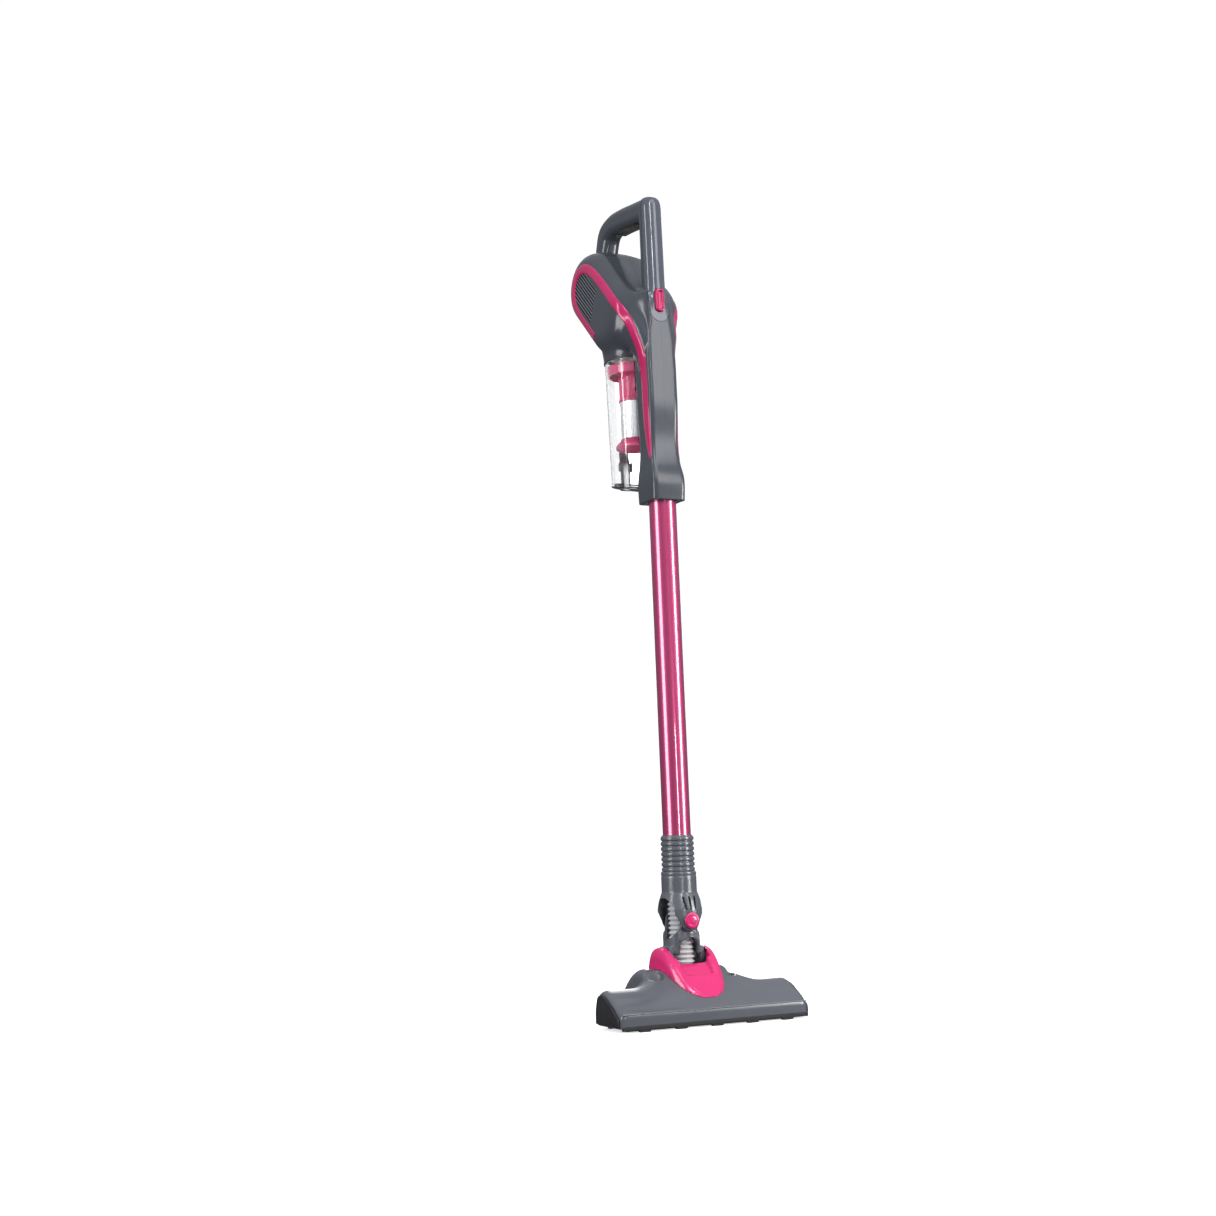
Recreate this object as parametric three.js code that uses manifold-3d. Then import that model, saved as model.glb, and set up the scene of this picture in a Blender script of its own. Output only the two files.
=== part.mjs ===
// Cordless stick vacuum: handheld unit with a clear dust cup, aluminium wand and a jointed floor head.
// Millimetres, +Z up. The origin is on the floor, under the axis of the upright wand.
// -Y is the front (the side of the power button and of the head's straight edge), +Y is the back.
import * as THREE from 'three';
import { mergeVertices } from 'three/addons/utils/BufferGeometryUtils.js';
import Module from 'manifold-3d';

const wasm = await Module();
wasm.setup();

// ---------------------------------------------------------------- driving dimensions
const seam = 0.3;               // gap between pieces that touch
const wall = 2.5;               // moulded wall of the casings
const bigRound = 18;            // facets on large round pieces
const cupRound = 28;            // facets on the clear cup
const smallRound = 10;          // facets on small round pieces

const wandRadius = 18;          // aluminium wand
const wandWall = 1.5;
const wandShown = 433;          // bare wand between cuff and handheld unit
const wandInCuff = 40;          // length of wand inside the cuff
const socketDepth = 40;         // length of wand inside the handheld unit

const hingeHeight = 80;         // lean-back hinge above the floor
const steerRise = 45;           // tipping hinge above the lean-back hinge
const cuffRise = 107;           // top of the cuff above the tipping hinge

const headHalfWidth = 131;      // floor head without its end bumpers
const headFront = -83;          // straight front edge
const headLip = 21;             // height of the front lip
const headSkirt = 5;            // lower edge of the head's walls
const cheekReach = 92;          // where the raised middle runs out, from the middle
const neckSlotHalf = 26;        // half width of the slot in which the yoke leans back
const cheekThickness = 6;       // bearing cheeks of the lean-back hinge
const neckTrough = 25;          // radius kept free around the lean-back hinge
const bumperDepth = 3;          // end bumpers, outward
const lintStripWidth = 8;
const lintStripLength = 236;
const lintFrontY = -66;
const lintRearY = -22;
const suctionSlotFront = -61.2;
const suctionSlotBack = -27;
const suctionSlotHalf = headHalfWidth - 27;
const heelHalf = 16;            // heel pad under the origin, half its width
const heelDepth = 6;            // and half its length front to back

const brushRadius = 11.5;       // over the bristles
const brushCore = 6;
const brushY = -40;
const brushLift = 1;            // bristles above the floor
const brushMotorRadius = 9.5;
const brushMotorLength = 35;
const brushAxleRadius = 2.5;
const brushEar = 4;             // thickness of the ears that carry the brush

const wheelRadius = 15;
const wheelWidth = 12;
const wheelX = 48;
const wheelY = 42;
const axleRadius = 2.5;
const podHalfWidth = 14.5;      // wheel pod, half its width
const axleReach = 10.2;         // half length of a wheel axle

const hoseRadius = 16;
const hoseWall = 2;
const hoseRibDepth = 2.4;
const yokeRadius = 23.5;
const yokeWall = 4;
const yokeLugWidth = 13;
const forkRingRadius = 22.5;
const forkBellyRadius = 29.5;
const forkWall = 3.2;
const capRadius = 10;
const steerPinRadius = 4;
const leanPinRadius = 4;
const cuffRibRadius = 21.2;
const cuffRibCount = 7;

const capsuleTop = { y: 116.6, z: 323.5 };   // centre of the capsule's upper end
const capsuleLength = 83;                    // centre to centre, along 45 degrees
const capsuleRadius = 52.8;
const capsuleHalfWidth = 50;
const grilleRadius = 24;
const grilleLength = 86;
const grilleSlotCount = 9;
const bandInner = 29;
const bandOuter = 37.5;
const bandProud = 0.5;

const cupTopRadius = 39;
const cupBottomRadius = 36.5;
const cupFrontY = 25.6;         // wall of the cup next to the spine
const cupTop = 205;
const cupLowBack = 45;          // slanted rim of the cup
const cupLowFront = 22;
const cupWall = 2.2;
const collarTop = 240;

const buttonBottom = 255;
const buttonHeight = 31;
const buttonHalfWidth = 6.5;
const buttonTravel = 2;
const buttonBack = -13.2;
const buttonFlange = 1;
const columnHalfWidth = 15;
const columnTop = 417;
const gripPadHalf = 10.5;
const cellRadius = 9.1;         // 18650 battery cell
const cellLength = 65;

// ---------------------------------------------------------------- places worked out from them
const bodyBase = hingeHeight + steerRise + cuffRise + wandShown;
const cuffTop = steerRise + cuffRise;                 // above the lean-back hinge
const wandBottom = hingeHeight + cuffTop - wandInCuff;
const wandTop = bodyBase + socketDepth - 2;
const down45 = -Math.SQRT1_2;
const cheekHeight = hingeHeight - 14;                 // top of the head in the middle
const brushZ = brushRadius + brushLift;
const brushLeft = -suctionSlotHalf + brushMotorLength + 2.5;
const brushRight = suctionSlotHalf - 1;

// ---------------------------------------------------------------- materials
const paint = (color, roughness, metalness = 0) =>
  new THREE.MeshStandardMaterial({ color, roughness, metalness });
const greyShell = paint(0x4b4e55, 0.3);
const greyTrim = paint(0x3a3d43, 0.45);
const blackRubber = paint(0x17181a, 0.8);
const pinkGloss = paint(0xd92f6c, 0.25);
const pinkMetal = paint(0xb83a6c, 0.3, 0.8);
const clearCup = paint(0xe6ebee, 0.05);
clearCup.transparent = true;
clearCup.opacity = 0.35;
const steel = paint(0xc9ccd0, 0.3, 1);
const copper = paint(0xb06a3a, 0.4, 1);
const cellWrap = paint(0x2f6f9f, 0.5);
const boardGreen = paint(0x1f6b45, 0.6);
const paper = paint(0xf1f1ec, 0.9);

// ---------------------------------------------------------------- helpers: solids
/** Merge corners, drop collapsed triangles, point the faces outward and hand the mesh to manifold. */
function solid(geometry) {
  const bare = geometry.index ? geometry.toNonIndexed() : geometry.clone();
  for (const name of Object.keys(bare.attributes)) {
    if (name !== 'position') bare.deleteAttribute(name);
  }
  const merged = mergeVertices(bare, 1e-4);
  const position = merged.attributes.position.array;
  const index = merged.index.array;
  const corner = (i) => new THREE.Vector3(position[3 * i], position[3 * i + 1], position[3 * i + 2]);
  const triangles = [];
  let volume = 0;
  for (let i = 0; i < index.length; i += 3) {
    const [a, b, c] = [index[i], index[i + 1], index[i + 2]];
    if (a === b || b === c || c === a) continue;
    volume += corner(a).dot(corner(b).cross(corner(c)));
    triangles.push(a, b, c);
  }
  if (volume < 0) triangles.reverse();
  return new wasm.Manifold(new wasm.Mesh({
    numProp: 3,
    vertProperties: new Float32Array(position),
    triVerts: new Uint32Array(triangles),
  }));
}

/** Turn a manifold back into a three.js geometry. */
function surface(body) {
  const mesh = body.getMesh();
  const geometry = new THREE.BufferGeometry();
  geometry.setAttribute('position', new THREE.BufferAttribute(new Float32Array(mesh.vertProperties), 3));
  geometry.setIndex(new THREE.BufferAttribute(new Uint32Array(mesh.triVerts), 1));
  geometry.computeVertexNormals();
  return geometry;
}

const join = (first, ...rest) => rest.reduce((sum, next) => sum.add(next), first);
const cut = (first, ...rest) => rest.reduce((left, next) => left.subtract(next), first);

/** Closed skin through a row of loops that all have the same number of corners. */
function loft(loops) {
  const count = loops[0].length;
  const triangles = [];
  const quad = (a, b, c, d) => triangles.push(a, b, c, a, c, d);
  for (let i = 0; i + 1 < loops.length; i++) {
    for (let j = 0; j < count; j++) {
      const k = (j + 1) % count;
      quad(loops[i][j], loops[i][k], loops[i + 1][k], loops[i + 1][j]);
    }
  }
  const cap = (loop, flip) => {
    const middle = loop.reduce((sum, p) => sum.add(p), new THREE.Vector3()).divideScalar(count);
    for (let j = 0; j < count; j++) {
      const pair = [loop[j], loop[(j + 1) % count]];
      if (flip) pair.reverse();
      triangles.push(middle, ...pair);
    }
  };
  cap(loops[0], true);
  cap(loops[loops.length - 1], false);
  return solid(new THREE.BufferGeometry().setFromPoints(triangles));
}

const moved = (geometry, x, y, z) => geometry.translate(x, y, z);
const block = (x0, x1, y0, y1, z0, z1) => solid(moved(
  new THREE.BoxGeometry(x1 - x0, y1 - y0, z1 - z0), (x0 + x1) / 2, (y0 + y1) / 2, (z0 + z1) / 2));

/** Extrude a flat outline along X, Y or Z from one place to another. */
function prism(outline, axis, from, to, holes = []) {
  const shape = new THREE.Shape(outline.map(([u, v]) => new THREE.Vector2(u, v)));
  shape.holes = holes.map((hole) => new THREE.Path(hole.map(([u, v]) => new THREE.Vector2(u, v))));
  const geometry = new THREE.ExtrudeGeometry(shape, { depth: to - from, bevelEnabled: false });
  geometry.translate(0, 0, from);
  const turn = new THREE.Matrix4();
  if (axis === 'x') turn.set(0, 0, 1, 0, 1, 0, 0, 0, 0, 1, 0, 0, 0, 0, 0, 1);
  if (axis === 'y') turn.set(1, 0, 0, 0, 0, 0, 1, 0, 0, 1, 0, 0, 0, 0, 0, 1);
  return solid(geometry.applyMatrix4(turn));
}

/** Turn a profile of [radius, height] corners about an axis through `at`. */
function turned(profile, facets, axis = 'z', at = [0, 0, 0]) {
  const points = profile.map(([radius, height]) => new THREE.Vector2(Math.max(radius, 0), height));
  const geometry = new THREE.LatheGeometry(points, facets);
  geometry.rotateX(Math.PI / 2);
  if (axis === 'x') geometry.rotateY(Math.PI / 2);
  if (axis === 'y') geometry.rotateX(-Math.PI / 2);
  if (axis === 'tilt') geometry.rotateX(-Math.PI / 4);
  return solid(moved(geometry, ...at));
}

const disc = (radius, from, to) => [[0, from], [radius, from], [radius, to], [0, to]];
const ring = (inner, outer, from, to) =>
  [[inner, from], [outer, from], [outer, to], [inner, to], [inner, from]];

/** Corners of a rectangle with round corners, always in the same order. */
function roundRect(u0, u1, v0, v1, radius, steps = 2) {
  const r = Math.max(0.2, Math.min(radius, (u1 - u0) / 2 - 0.01, (v1 - v0) / 2 - 0.01));
  const centres = [[u1 - r, v1 - r, 0], [u0 + r, v1 - r, 1], [u0 + r, v0 + r, 2], [u1 - r, v0 + r, 3]];
  const points = [];
  for (const [u, v, quarter] of centres) {
    for (let i = 0; i <= steps; i++) {
      const angle = (quarter + i / steps) * Math.PI / 2;
      points.push([u + r * Math.cos(angle), v + r * Math.sin(angle)]);
    }
  }
  return points;
}

/** Corners of a stadium in the YZ plane, from the capsule's top centre down along 45 degrees. */
function stadium(radius, from, to, steps = 7) {
  const points = [];
  const arc = (along, start) => {
    const y = capsuleTop.y + down45 * along;
    const z = capsuleTop.z + down45 * along;
    for (let i = 0; i <= steps; i++) {
      const angle = start + (i / steps) * Math.PI;
      points.push([y + radius * Math.cos(angle), z + radius * Math.sin(angle)]);
    }
  };
  arc(from, -Math.PI / 4);
  arc(to, 3 * Math.PI / 4);
  return points;
}

/** Skin of round-cornered sections along a path in the YZ plane: rows of [y, z, halfX, halfThick]. */
function sweep(rows, inset, radius, samples) {
  const path = new THREE.CatmullRomCurve3(rows.map(([y, z]) => new THREE.Vector3(0, y, z)));
  const sizes = new THREE.CatmullRomCurve3(rows.map(([, , x, t]) => new THREE.Vector3(x, t, 0)));
  const loops = [];
  for (let i = 0; i <= samples; i++) {
    const at = i / samples;
    const middle = path.getPoint(at);
    const along = path.getTangent(at);
    const size = sizes.getPoint(at);
    const halfX = size.x - inset;
    const half = size.y - inset;
    loops.push(roundRect(-halfX, halfX, -half, half, radius - inset).map(([u, v]) =>
      new THREE.Vector3(u, middle.y - v * along.z, middle.z + v * along.y)));
  }
  return loft(loops);
}

/** Upright casing from rows of [z, yFront, yBack, halfX], with round corners. */
const tower = (rows, inset, radius) => loft(rows.map(([z, front, back, half]) =>
  roundRect(-half + inset, half - inset, front + inset, back - inset, radius - inset)
    .map(([x, y]) => new THREE.Vector3(x, y, z))));

const mirrorX = (body) => {
  const geometry = surface(body);
  geometry.scale(-1, 1, 1);
  return solid(geometry);
};

const root = new THREE.Group();
const neck = new THREE.Group();
neck.position.z = hingeHeight;
const handheld = new THREE.Group();
handheld.position.z = bodyBase;
root.add(neck, handheld);

function add(group, name, body, material) {
  const mesh = new THREE.Mesh(surface(body), material);
  mesh.name = name;
  group.add(mesh);
}

/** Corrugated tube between two heights. */
function hose(from, to, ribs) {
  const step = (to - from) / ribs;
  const outer = [];
  for (let i = 0; i < ribs; i++) {
    outer.push([hoseRadius - hoseRibDepth, from + i * step]);
    outer.push([hoseRadius, from + (i + 0.3) * step]);
    outer.push([hoseRadius, from + (i + 0.7) * step]);
  }
  outer.push([hoseRadius - hoseRibDepth, to]);
  const bore = hoseRadius - hoseRibDepth - hoseWall;
  return turned([[bore, to], [bore, from], ...outer, [bore, to]], smallRound + 4);
}

// ================================================================ floor head
/** Side outline of the head at a distance from the middle: rows of [y, z], front edge first. */
function headOutline(x, inset) {
  const middle = THREE.MathUtils.smoothstep(cheekReach - Math.abs(x), 0, cheekReach - neckSlotHalf - 4);
  const crestZ = 47 + (cheekHeight - 47) * middle;
  const crestY = -33 + 28 * middle;
  const creaseZ = 38 + 16 * middle;
  const creaseY = -54 + 16 * middle;
  const rear = -13 + 40 * middle;
  const front = headFront + inset;
  const bottom = headSkirt + (inset > 0 ? -1 : 0);
  const rows = [
    [front, bottom], [front, headLip - inset], [front + 6, headLip + 3 - inset],
    [(front + creaseY) / 2, (headLip + creaseZ) / 2 - inset], [creaseY, creaseZ - inset],
    [(creaseY + crestY) / 2, (creaseZ + 2 * crestZ) / 3 - inset], [crestY, crestZ - inset],
    [(crestY + rear) / 2, crestZ - 3 - inset], [rear - 3 - inset, crestZ - 13 - inset],
    [rear - inset, crestZ - 24 - inset], [rear - inset, bottom],
  ];
  return rows;
}

/** The head's outer form, drawn in by an inset. */
function headForm(inset) {
  const end = headHalfWidth - inset;
  const stations = [-1, -0.7, -0.6, -0.5, -0.4, -0.3, -0.2, 0.2, 0.3, 0.4, 0.5, 0.6, 0.7, 1];
  const shell = loft(stations.map((share) => {
    const x = Math.max(-end, Math.min(end, share * headHalfWidth));
    return headOutline(x, inset).map(([y, z]) => new THREE.Vector3(x, y, z));
  }));
  const under = block(-200, 200, -200, 200, -40, headSkirt - (inset > 0 ? 1 : 0));
  return cut(join(shell, podForm(-1, inset), podForm(1, inset)), under);
}

/** Rounded housing of one rear wheel. */
function podForm(side, inset) {
  const below = headSkirt - 14;
  const half = podHalfWidth - inset;
  const middle = side * wheelX;
  const rows = [
    [-20, 40, 0.8], [-6, 60, 0.9], [10, 63, 1], [26, 57, 1], [44, 44, 0.97],
    [wheelY + wheelRadius + 4, 24, 0.92],
  ];
  return loft(rows.map(([y, top, share], i) => {
    const place = i === 0 ? y + inset : i === rows.length - 1 ? y - inset : y;
    return roundRect(middle - half * share, middle + half * share, below, top - inset, 9 - inset, 3)
      .map(([x, z]) => new THREE.Vector3(x, place, z));
  }));
}

/** Space kept free for the yoke, as it leans back. */
function neckSpace(clearance) {
  const half = neckSlotHalf + clearance;
  const radius = neckTrough + clearance;
  const trough = turned(disc(radius, -half, half), bigRound, 'x', [0, 0, hingeHeight]);
  const above = block(-half, half, -radius, 70, hingeHeight, hingeHeight + 60);
  const behind = block(-half, half, 0, 70, hingeHeight - radius, hingeHeight + 60);
  return join(trough, above, behind);
}

function leanPin(side) {
  const inner = side * (yokeRadius - yokeWall - 1);
  const outer = side * (neckSlotHalf + cheekThickness);
  return turned(disc(leanPinRadius, Math.min(inner, outer), Math.max(inner, outer)),
    smallRound, 'x', [0, 0, hingeHeight]);
}

/** Bearing cheek that carries one neck pin. */
function cheek(side) {
  const low = hingeHeight - 26;
  const outline = [[-13, low], [13, low]];
  for (let i = 0; i <= 10; i++) {
    const angle = Math.PI * i / 10;
    outline.push([12 * Math.cos(angle), hingeHeight + 10 * Math.sin(angle) - 2]);
  }
  const x0 = side * neckSlotHalf;
  const x1 = side * (neckSlotHalf + cheekThickness);
  return prism(outline, 'x', Math.min(x0, x1), Math.max(x0, x1));
}

const pinHole = (radius, reach) =>
  turned(disc(radius + seam, -reach, reach), smallRound, 'x', [0, 0, hingeHeight]);
const axleHole = (clearance) =>
  turned(disc(axleRadius + clearance, -70, 70), smallRound, 'x', [0, wheelY, wheelRadius]);

function headShell() {
  const outer = join(headForm(0), cheek(-1), cheek(1));
  const hollow = headForm(wall);
  const inlet = turned(disc(hoseRadius - 1, 30, hingeHeight), smallRound);
  return cut(outer, hollow, neckSpace(0), inlet, pinHole(leanPinRadius, 60));
}

function basePlate() {
  const inner = headForm(wall + seam);
  const slab = block(-headHalfWidth, headHalfWidth, headFront, 90, headSkirt - 1, headSkirt + 3);
  const plate = inner.intersect(slab);
  const slot = block(-suctionSlotHalf, suctionSlotHalf, suctionSlotFront, suctionSlotBack, 0, 20);
  const wheelWells = [-1, 1].map((side) => block(
    side * wheelX - wheelWidth / 2 - 1.5, side * wheelX + wheelWidth / 2 + 1.5,
    wheelY - wheelRadius - 1.5, wheelY + wheelRadius + 1.5, 0, 30));
  const ears = [-1, 1].flatMap((side) => [-1, 1].map((end) => {
    const near = side * wheelX + end * (wheelWidth / 2 + 1.8);
    const far = side * wheelX + end * axleReach;
    return block(Math.min(near, far), Math.max(near, far),
      wheelY - 6, wheelY + 6, headSkirt, wheelRadius + 6);
  }));
  const heelPad = block(-heelHalf, heelHalf, -heelDepth, heelDepth, 0, headSkirt);
  const brushEars = [-1, 1].map((side) => {
    const near = side * (suctionSlotHalf + seam);
    const far = side * (suctionSlotHalf + seam + brushEar);
    return block(Math.min(near, far), Math.max(near, far), brushY - 7, brushY + 7, headSkirt, brushZ + 6);
  });
  const trench = (y) => block(-lintStripLength / 2 - seam, lintStripLength / 2 + seam,
    y - lintStripWidth / 2 - seam, y + lintStripWidth / 2 + seam, 0, headSkirt);
  return cut(join(cut(plate, slot, ...wheelWells), ...ears, ...brushEars, heelPad), axleHole(seam),
    aroundBrush(disc(brushAxleRadius + seam, 0, 150)), aroundBrush(disc(4 + seam, -150, 0)),
    trench(lintFrontY), trench(lintRearY));
}

/** Turn a profile of [radius, x] corners about the brush's axis. */
const aroundBrush = (profile) => turned(profile, smallRound, 'x', [0, brushY, brushZ]);

/** Motor at the left end of the brush, held in the left ear by its square-ended boss. */
function brushMotor() {
  const outer = -suctionSlotHalf;
  const inner = outer + brushMotorLength;
  const body = aroundBrush([[0, outer - brushEar], [4, outer - brushEar], [4, outer],
    [brushMotorRadius, outer + 1], [brushMotorRadius, inner], [0, inner]]);
  return cut(body, aroundBrush(disc(brushAxleRadius + seam, inner - 8, inner + 5)));
}

/** Brush: a core with two bristle strips that wind half a turn along it. */
function brushRoll() {
  const stations = 14;
  const halfThick = 1.6;
  const strips = loft(Array.from({ length: stations + 1 }, (_, i) => {
    const share = i / stations;
    const angle = share * Math.PI;
    const x = brushLeft + 2 + share * (brushRight - brushLeft - 4);
    return [[-1, -1], [1, -1], [1, 1], [-1, 1]].map(([u, v]) => {
      const along = u * brushRadius;
      const across = v * halfThick;
      return new THREE.Vector3(x,
        brushY + along * Math.cos(angle) - across * Math.sin(angle),
        brushZ + along * Math.sin(angle) + across * Math.cos(angle));
    });
  }));
  const axleLeft = -suctionSlotHalf + brushMotorLength - 6;
  const core = aroundBrush([[0, axleLeft], [brushAxleRadius, axleLeft], [brushAxleRadius, brushLeft],
    [brushCore, brushLeft], [brushCore, brushRight], [brushAxleRadius, brushRight],
    [brushAxleRadius, suctionSlotHalf + brushEar], [0, suctionSlotHalf + brushEar]]);
  return join(core, strips);
}

function lintStrip(y) {
  const half = lintStripWidth / 2;
  return prism([[y - half, headSkirt - seam], [y - half, 1], [y - half + 1, 0], [y + half - 1, 0],
    [y + half, 1], [y + half, headSkirt - seam]], 'x', -lintStripLength / 2, lintStripLength / 2);
}

/** Rubber strip under the front lip with lugs that glide on the floor. */
function frontBumper() {
  const front = headFront - 1.5;
  const back = headFront + 5;
  const strip = block(-headHalfWidth + 2, headHalfWidth - 2, front, headFront - seam, 3, 12);
  const foot = block(-headHalfWidth + 2, headHalfWidth - 2, front, back, 2, headSkirt - 1 - seam);
  const lugs = [-2, -1, 0, 1, 2].map((place) =>
    block(place * 50 - 9, place * 50 + 9, front + 0.5, back - 1, 0, 3));
  return join(strip, foot, ...lugs);
}

function endBumper(side) {
  const face = headOutline(headHalfWidth, 0).slice(0, -1);
  face[0] = [headFront - 1.5, headSkirt + 2];
  face[1] = [headFront - 1.5, headLip];
  const outline = [...face, [-13, headSkirt - 1]];
  const x0 = headHalfWidth + seam;
  const x1 = headHalfWidth + seam + bumperDepth;
  const plate = prism(outline, 'x', x0, x1);
  return side > 0 ? plate : mirrorX(plate);
}

function headCover() {
  const coverFront = 34;         // height of the cover's front edge
  const upTo = (share) => coverFront + share * (hingeHeight - coverFront);
  const rows = [
    // y, half width, ridge and valley as shares of the way up to the lean-back hinge, ridge above that
    [-67, 12, 0, 0, 0], [-60, 26, 0.2, 0.2, 0], [-50, 32, 0.43, 0.39, 0], [-40, 35, 0.7, 0.57, 0],
    [-28, 37, 0.98, 0.78, 0], [-12, 38.5, 1, 0.91, 10.1], [4, 39, 1, 1, 12], [18, 38, 1, 1, 6],
    [26, 36, 0.87, 0.78, 0],
  ];
  const form = loft(rows.map(([y, half, ridgeShare, valleyShare, horn]) => {
    const ridge = upTo(ridgeShare) + horn;
    const valley = upTo(valleyShare);
    const low = coverFront - 14;
    const flank = [[1, low], [1, ridge - 16], [0.93, ridge - 6], [0.82, ridge - 0.6], [0.72, ridge],
      [0.56, (ridge + valley) / 2], [0.4, valley]];
    const profile = [...flank, ...flank.map(([share, z]) => [-share, z]).reverse()];
    return profile.map(([share, z]) => new THREE.Vector3(share * half, y, z));
  }));
  const under = join(headForm(-seam), grownCheek(-1), grownCheek(1));
  const floor = block(-60, 60, -90, 90, 0, coverFront - 1);
  const behind = block(-60, 60, -8, 90, 0, hingeHeight - neckTrough - 1);
  return cut(form, under, neckSpace(0), floor, behind);
}

const grownCheek = (side) => {
  const x0 = side * (neckSlotHalf - 2);
  const x1 = side * (neckSlotHalf + cheekThickness + seam);
  return block(Math.min(x0, x1), Math.max(x0, x1), -13.5, 13.5, hingeHeight - 40, hingeHeight + 8.6);
};

add(root, 'head_shell', headShell(), greyShell);
add(root, 'base_plate', basePlate(), greyTrim);
add(root, 'head_cover', headCover(), pinkGloss);
add(root, 'front_bumper', frontBumper(), blackRubber);
add(root, 'end_bumper_left', endBumper(-1), blackRubber);
add(root, 'end_bumper_right', endBumper(1), blackRubber);
add(root, 'lint_strip_front', lintStrip(lintFrontY), blackRubber);
add(root, 'lint_strip_rear', lintStrip(lintRearY), blackRubber);
add(root, 'brush_motor', brushMotor(), steel);
add(root, 'brush_roll', brushRoll(), blackRubber);
for (const [name, side] of [['left', -1], ['right', 1]]) {
  const hub = [side * wheelX, wheelY, wheelRadius];
  const half = wheelWidth / 2;
  const edge = 1.5;
  const tread = [[wheelRadius - edge, -half], [wheelRadius, -half + edge],
    [wheelRadius, half - edge], [wheelRadius - edge, half]];
  const bore = axleRadius + seam;
  add(root, `neck_pin_${name}`, leanPin(side), steel);
  add(root, `wheel_axle_${name}`, turned(disc(axleRadius, -axleReach, axleReach), smallRound, 'x', hub),
    steel);
  add(root, `wheel_${name}`,
    turned([[bore, -half], ...tread, [bore, half], [bore, -half]], bigRound, 'x', hub), blackRubber);
}

// ================================================================ neck (heights above the lean-back hinge)
const yokeTop = steerRise - 13;
const yokeEarOut = forkBellyRadius - forkWall - 4.6;    // outer face of the yoke's ears
const forkPlateRadius = 13.2;                          // round lower ends of the fork's arms

/** Plate with a round end about the tipping hinge, front or back. */
function roundEar(y0, y1, half, low, radius) {
  const outline = [[-half, low], [half, low]];
  for (let i = 0; i <= 8; i++) {
    const angle = Math.PI * i / 8;
    outline.push([radius * Math.cos(angle), steerRise + radius * Math.sin(angle)]);
  }
  return prism(outline, 'y', y0, y1);
}

function yoke() {
  const yokeBore = hoseRadius + 2.5;
  const tube = turned(ring(yokeBore, yokeRadius, 4, yokeTop), bigRound);
  const ears = [-1, 1].map((side) => {
    const faces = [side * (yokeEarOut - 4.5), side * yokeEarOut];
    return roundEar(Math.min(...faces), Math.max(...faces), 14, yokeTop - 12, 11);
  });
  const lugs = [-1, 1].map((side) => {
    const outline = [[yokeLugWidth, 12], [-yokeLugWidth, 12]];
    for (let i = 0; i <= 8; i++) {
      const angle = Math.PI + Math.PI * i / 8;
      outline.push([yokeLugWidth * Math.cos(angle), yokeLugWidth * Math.sin(angle)]);
    }
    const x0 = side * (yokeRadius - yokeWall);
    const x1 = side * (yokeRadius + 1.5);
    return prism(outline, 'x', Math.min(x0, x1), Math.max(x0, x1));
  });
  const arch = [[-13, 0], [13, 0], [13, 12]];
  for (let i = 1; i < 8; i++) {
    const angle = Math.PI * i / 8;
    arch.push([13 * Math.cos(angle), 12 + 12 * Math.sin(angle)]);
  }
  arch.push([-13, 12]);
  const windows = prism(arch, 'y', -40, 40);
  const bore = turned(disc(yokeBore, -30, 100), bigRound);
  const hoseLip = turned(ring(hoseRadius + seam, yokeBore + 1, yokeTop - 6, yokeTop - 1), bigRound);
  const swing = turned(disc(forkBellyRadius - forkWall - 0.6, yokeTop - 20, steerRise + 20), bigRound);
  const steerHole = turned(disc(steerPinRadius + seam, -40, 40), smallRound, 'y', [0, 0, steerRise]);
  const leanHole = turned(disc(leanPinRadius + seam, -40, 40), smallRound, 'x');
  const carrier = cut(join(tube, ...ears.map((ear) => ear.intersect(swing)), ...lugs), windows, bore);
  return cut(join(carrier, hoseLip), steerHole, leanHole);
}

function fork() {
  const ringTop = steerRise + 61;
  const ringLow = steerRise + 34;
  const outer = turned([[0, steerRise - 13],
    [forkBellyRadius - 2, steerRise - 13], [forkBellyRadius, steerRise + 4],
    [forkBellyRadius, steerRise + 14], [forkBellyRadius - 3, steerRise + 23],
    [forkRingRadius + 1, ringLow - 2], [forkRingRadius, ringLow],
    [forkRingRadius, ringTop], [0, ringTop]], bigRound);
  const inner = turned([[0, steerRise - 20], [forkBellyRadius - forkWall, steerRise - 20],
    [forkBellyRadius - forkWall, steerRise + 13], [forkBellyRadius - forkWall - 4, steerRise + 22],
    [hoseRadius + 1, ringLow], [hoseRadius + 1, ringLow + 6], [0, ringLow + 6]], bigRound);
  const socket = turned(disc(19.6, ringLow + 6, ringTop + 5), bigRound);
  const side = [];
  for (let i = 0; i <= 8; i++) {
    const angle = Math.PI * i / 8;
    side.push([18 * Math.cos(angle), steerRise + 10 + 17 * Math.sin(angle)]);
  }
  const sideWindow = prism([[-18, steerRise - 40], [18, steerRise - 40], ...side], 'x', -60, 60);
  const keepBelow = prism([[-60, steerRise - 40], [60, steerRise - 40],
    [60, steerRise + 1], [-60, steerRise + 1]], 'y', -60, 60);
  const roundBelow = turned(disc(forkPlateRadius, -60, 60), bigRound, 'y', [0, 0, steerRise]);
  const earRoom = turned(disc(forkPlateRadius + 4, -yokeEarOut - seam, yokeEarOut + seam), bigRound, 'y',
    [0, 0, steerRise]);
  const slots = [-7, 0, 7].map((x) =>
    prism(roundRect(x - 1.6, x + 1.6, steerRise + 13, steerRise + 29, 1.5, 2), 'y', -60, -hoseRadius - 2));
  const hole = turned(disc(steerPinRadius + seam, -60, 60), smallRound, 'y', [0, 0, steerRise]);
  const body = cut(outer, inner, socket, sideWindow, cut(keepBelow, roundBelow));
  return cut(body, earRoom, ...slots, hole);
}

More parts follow.
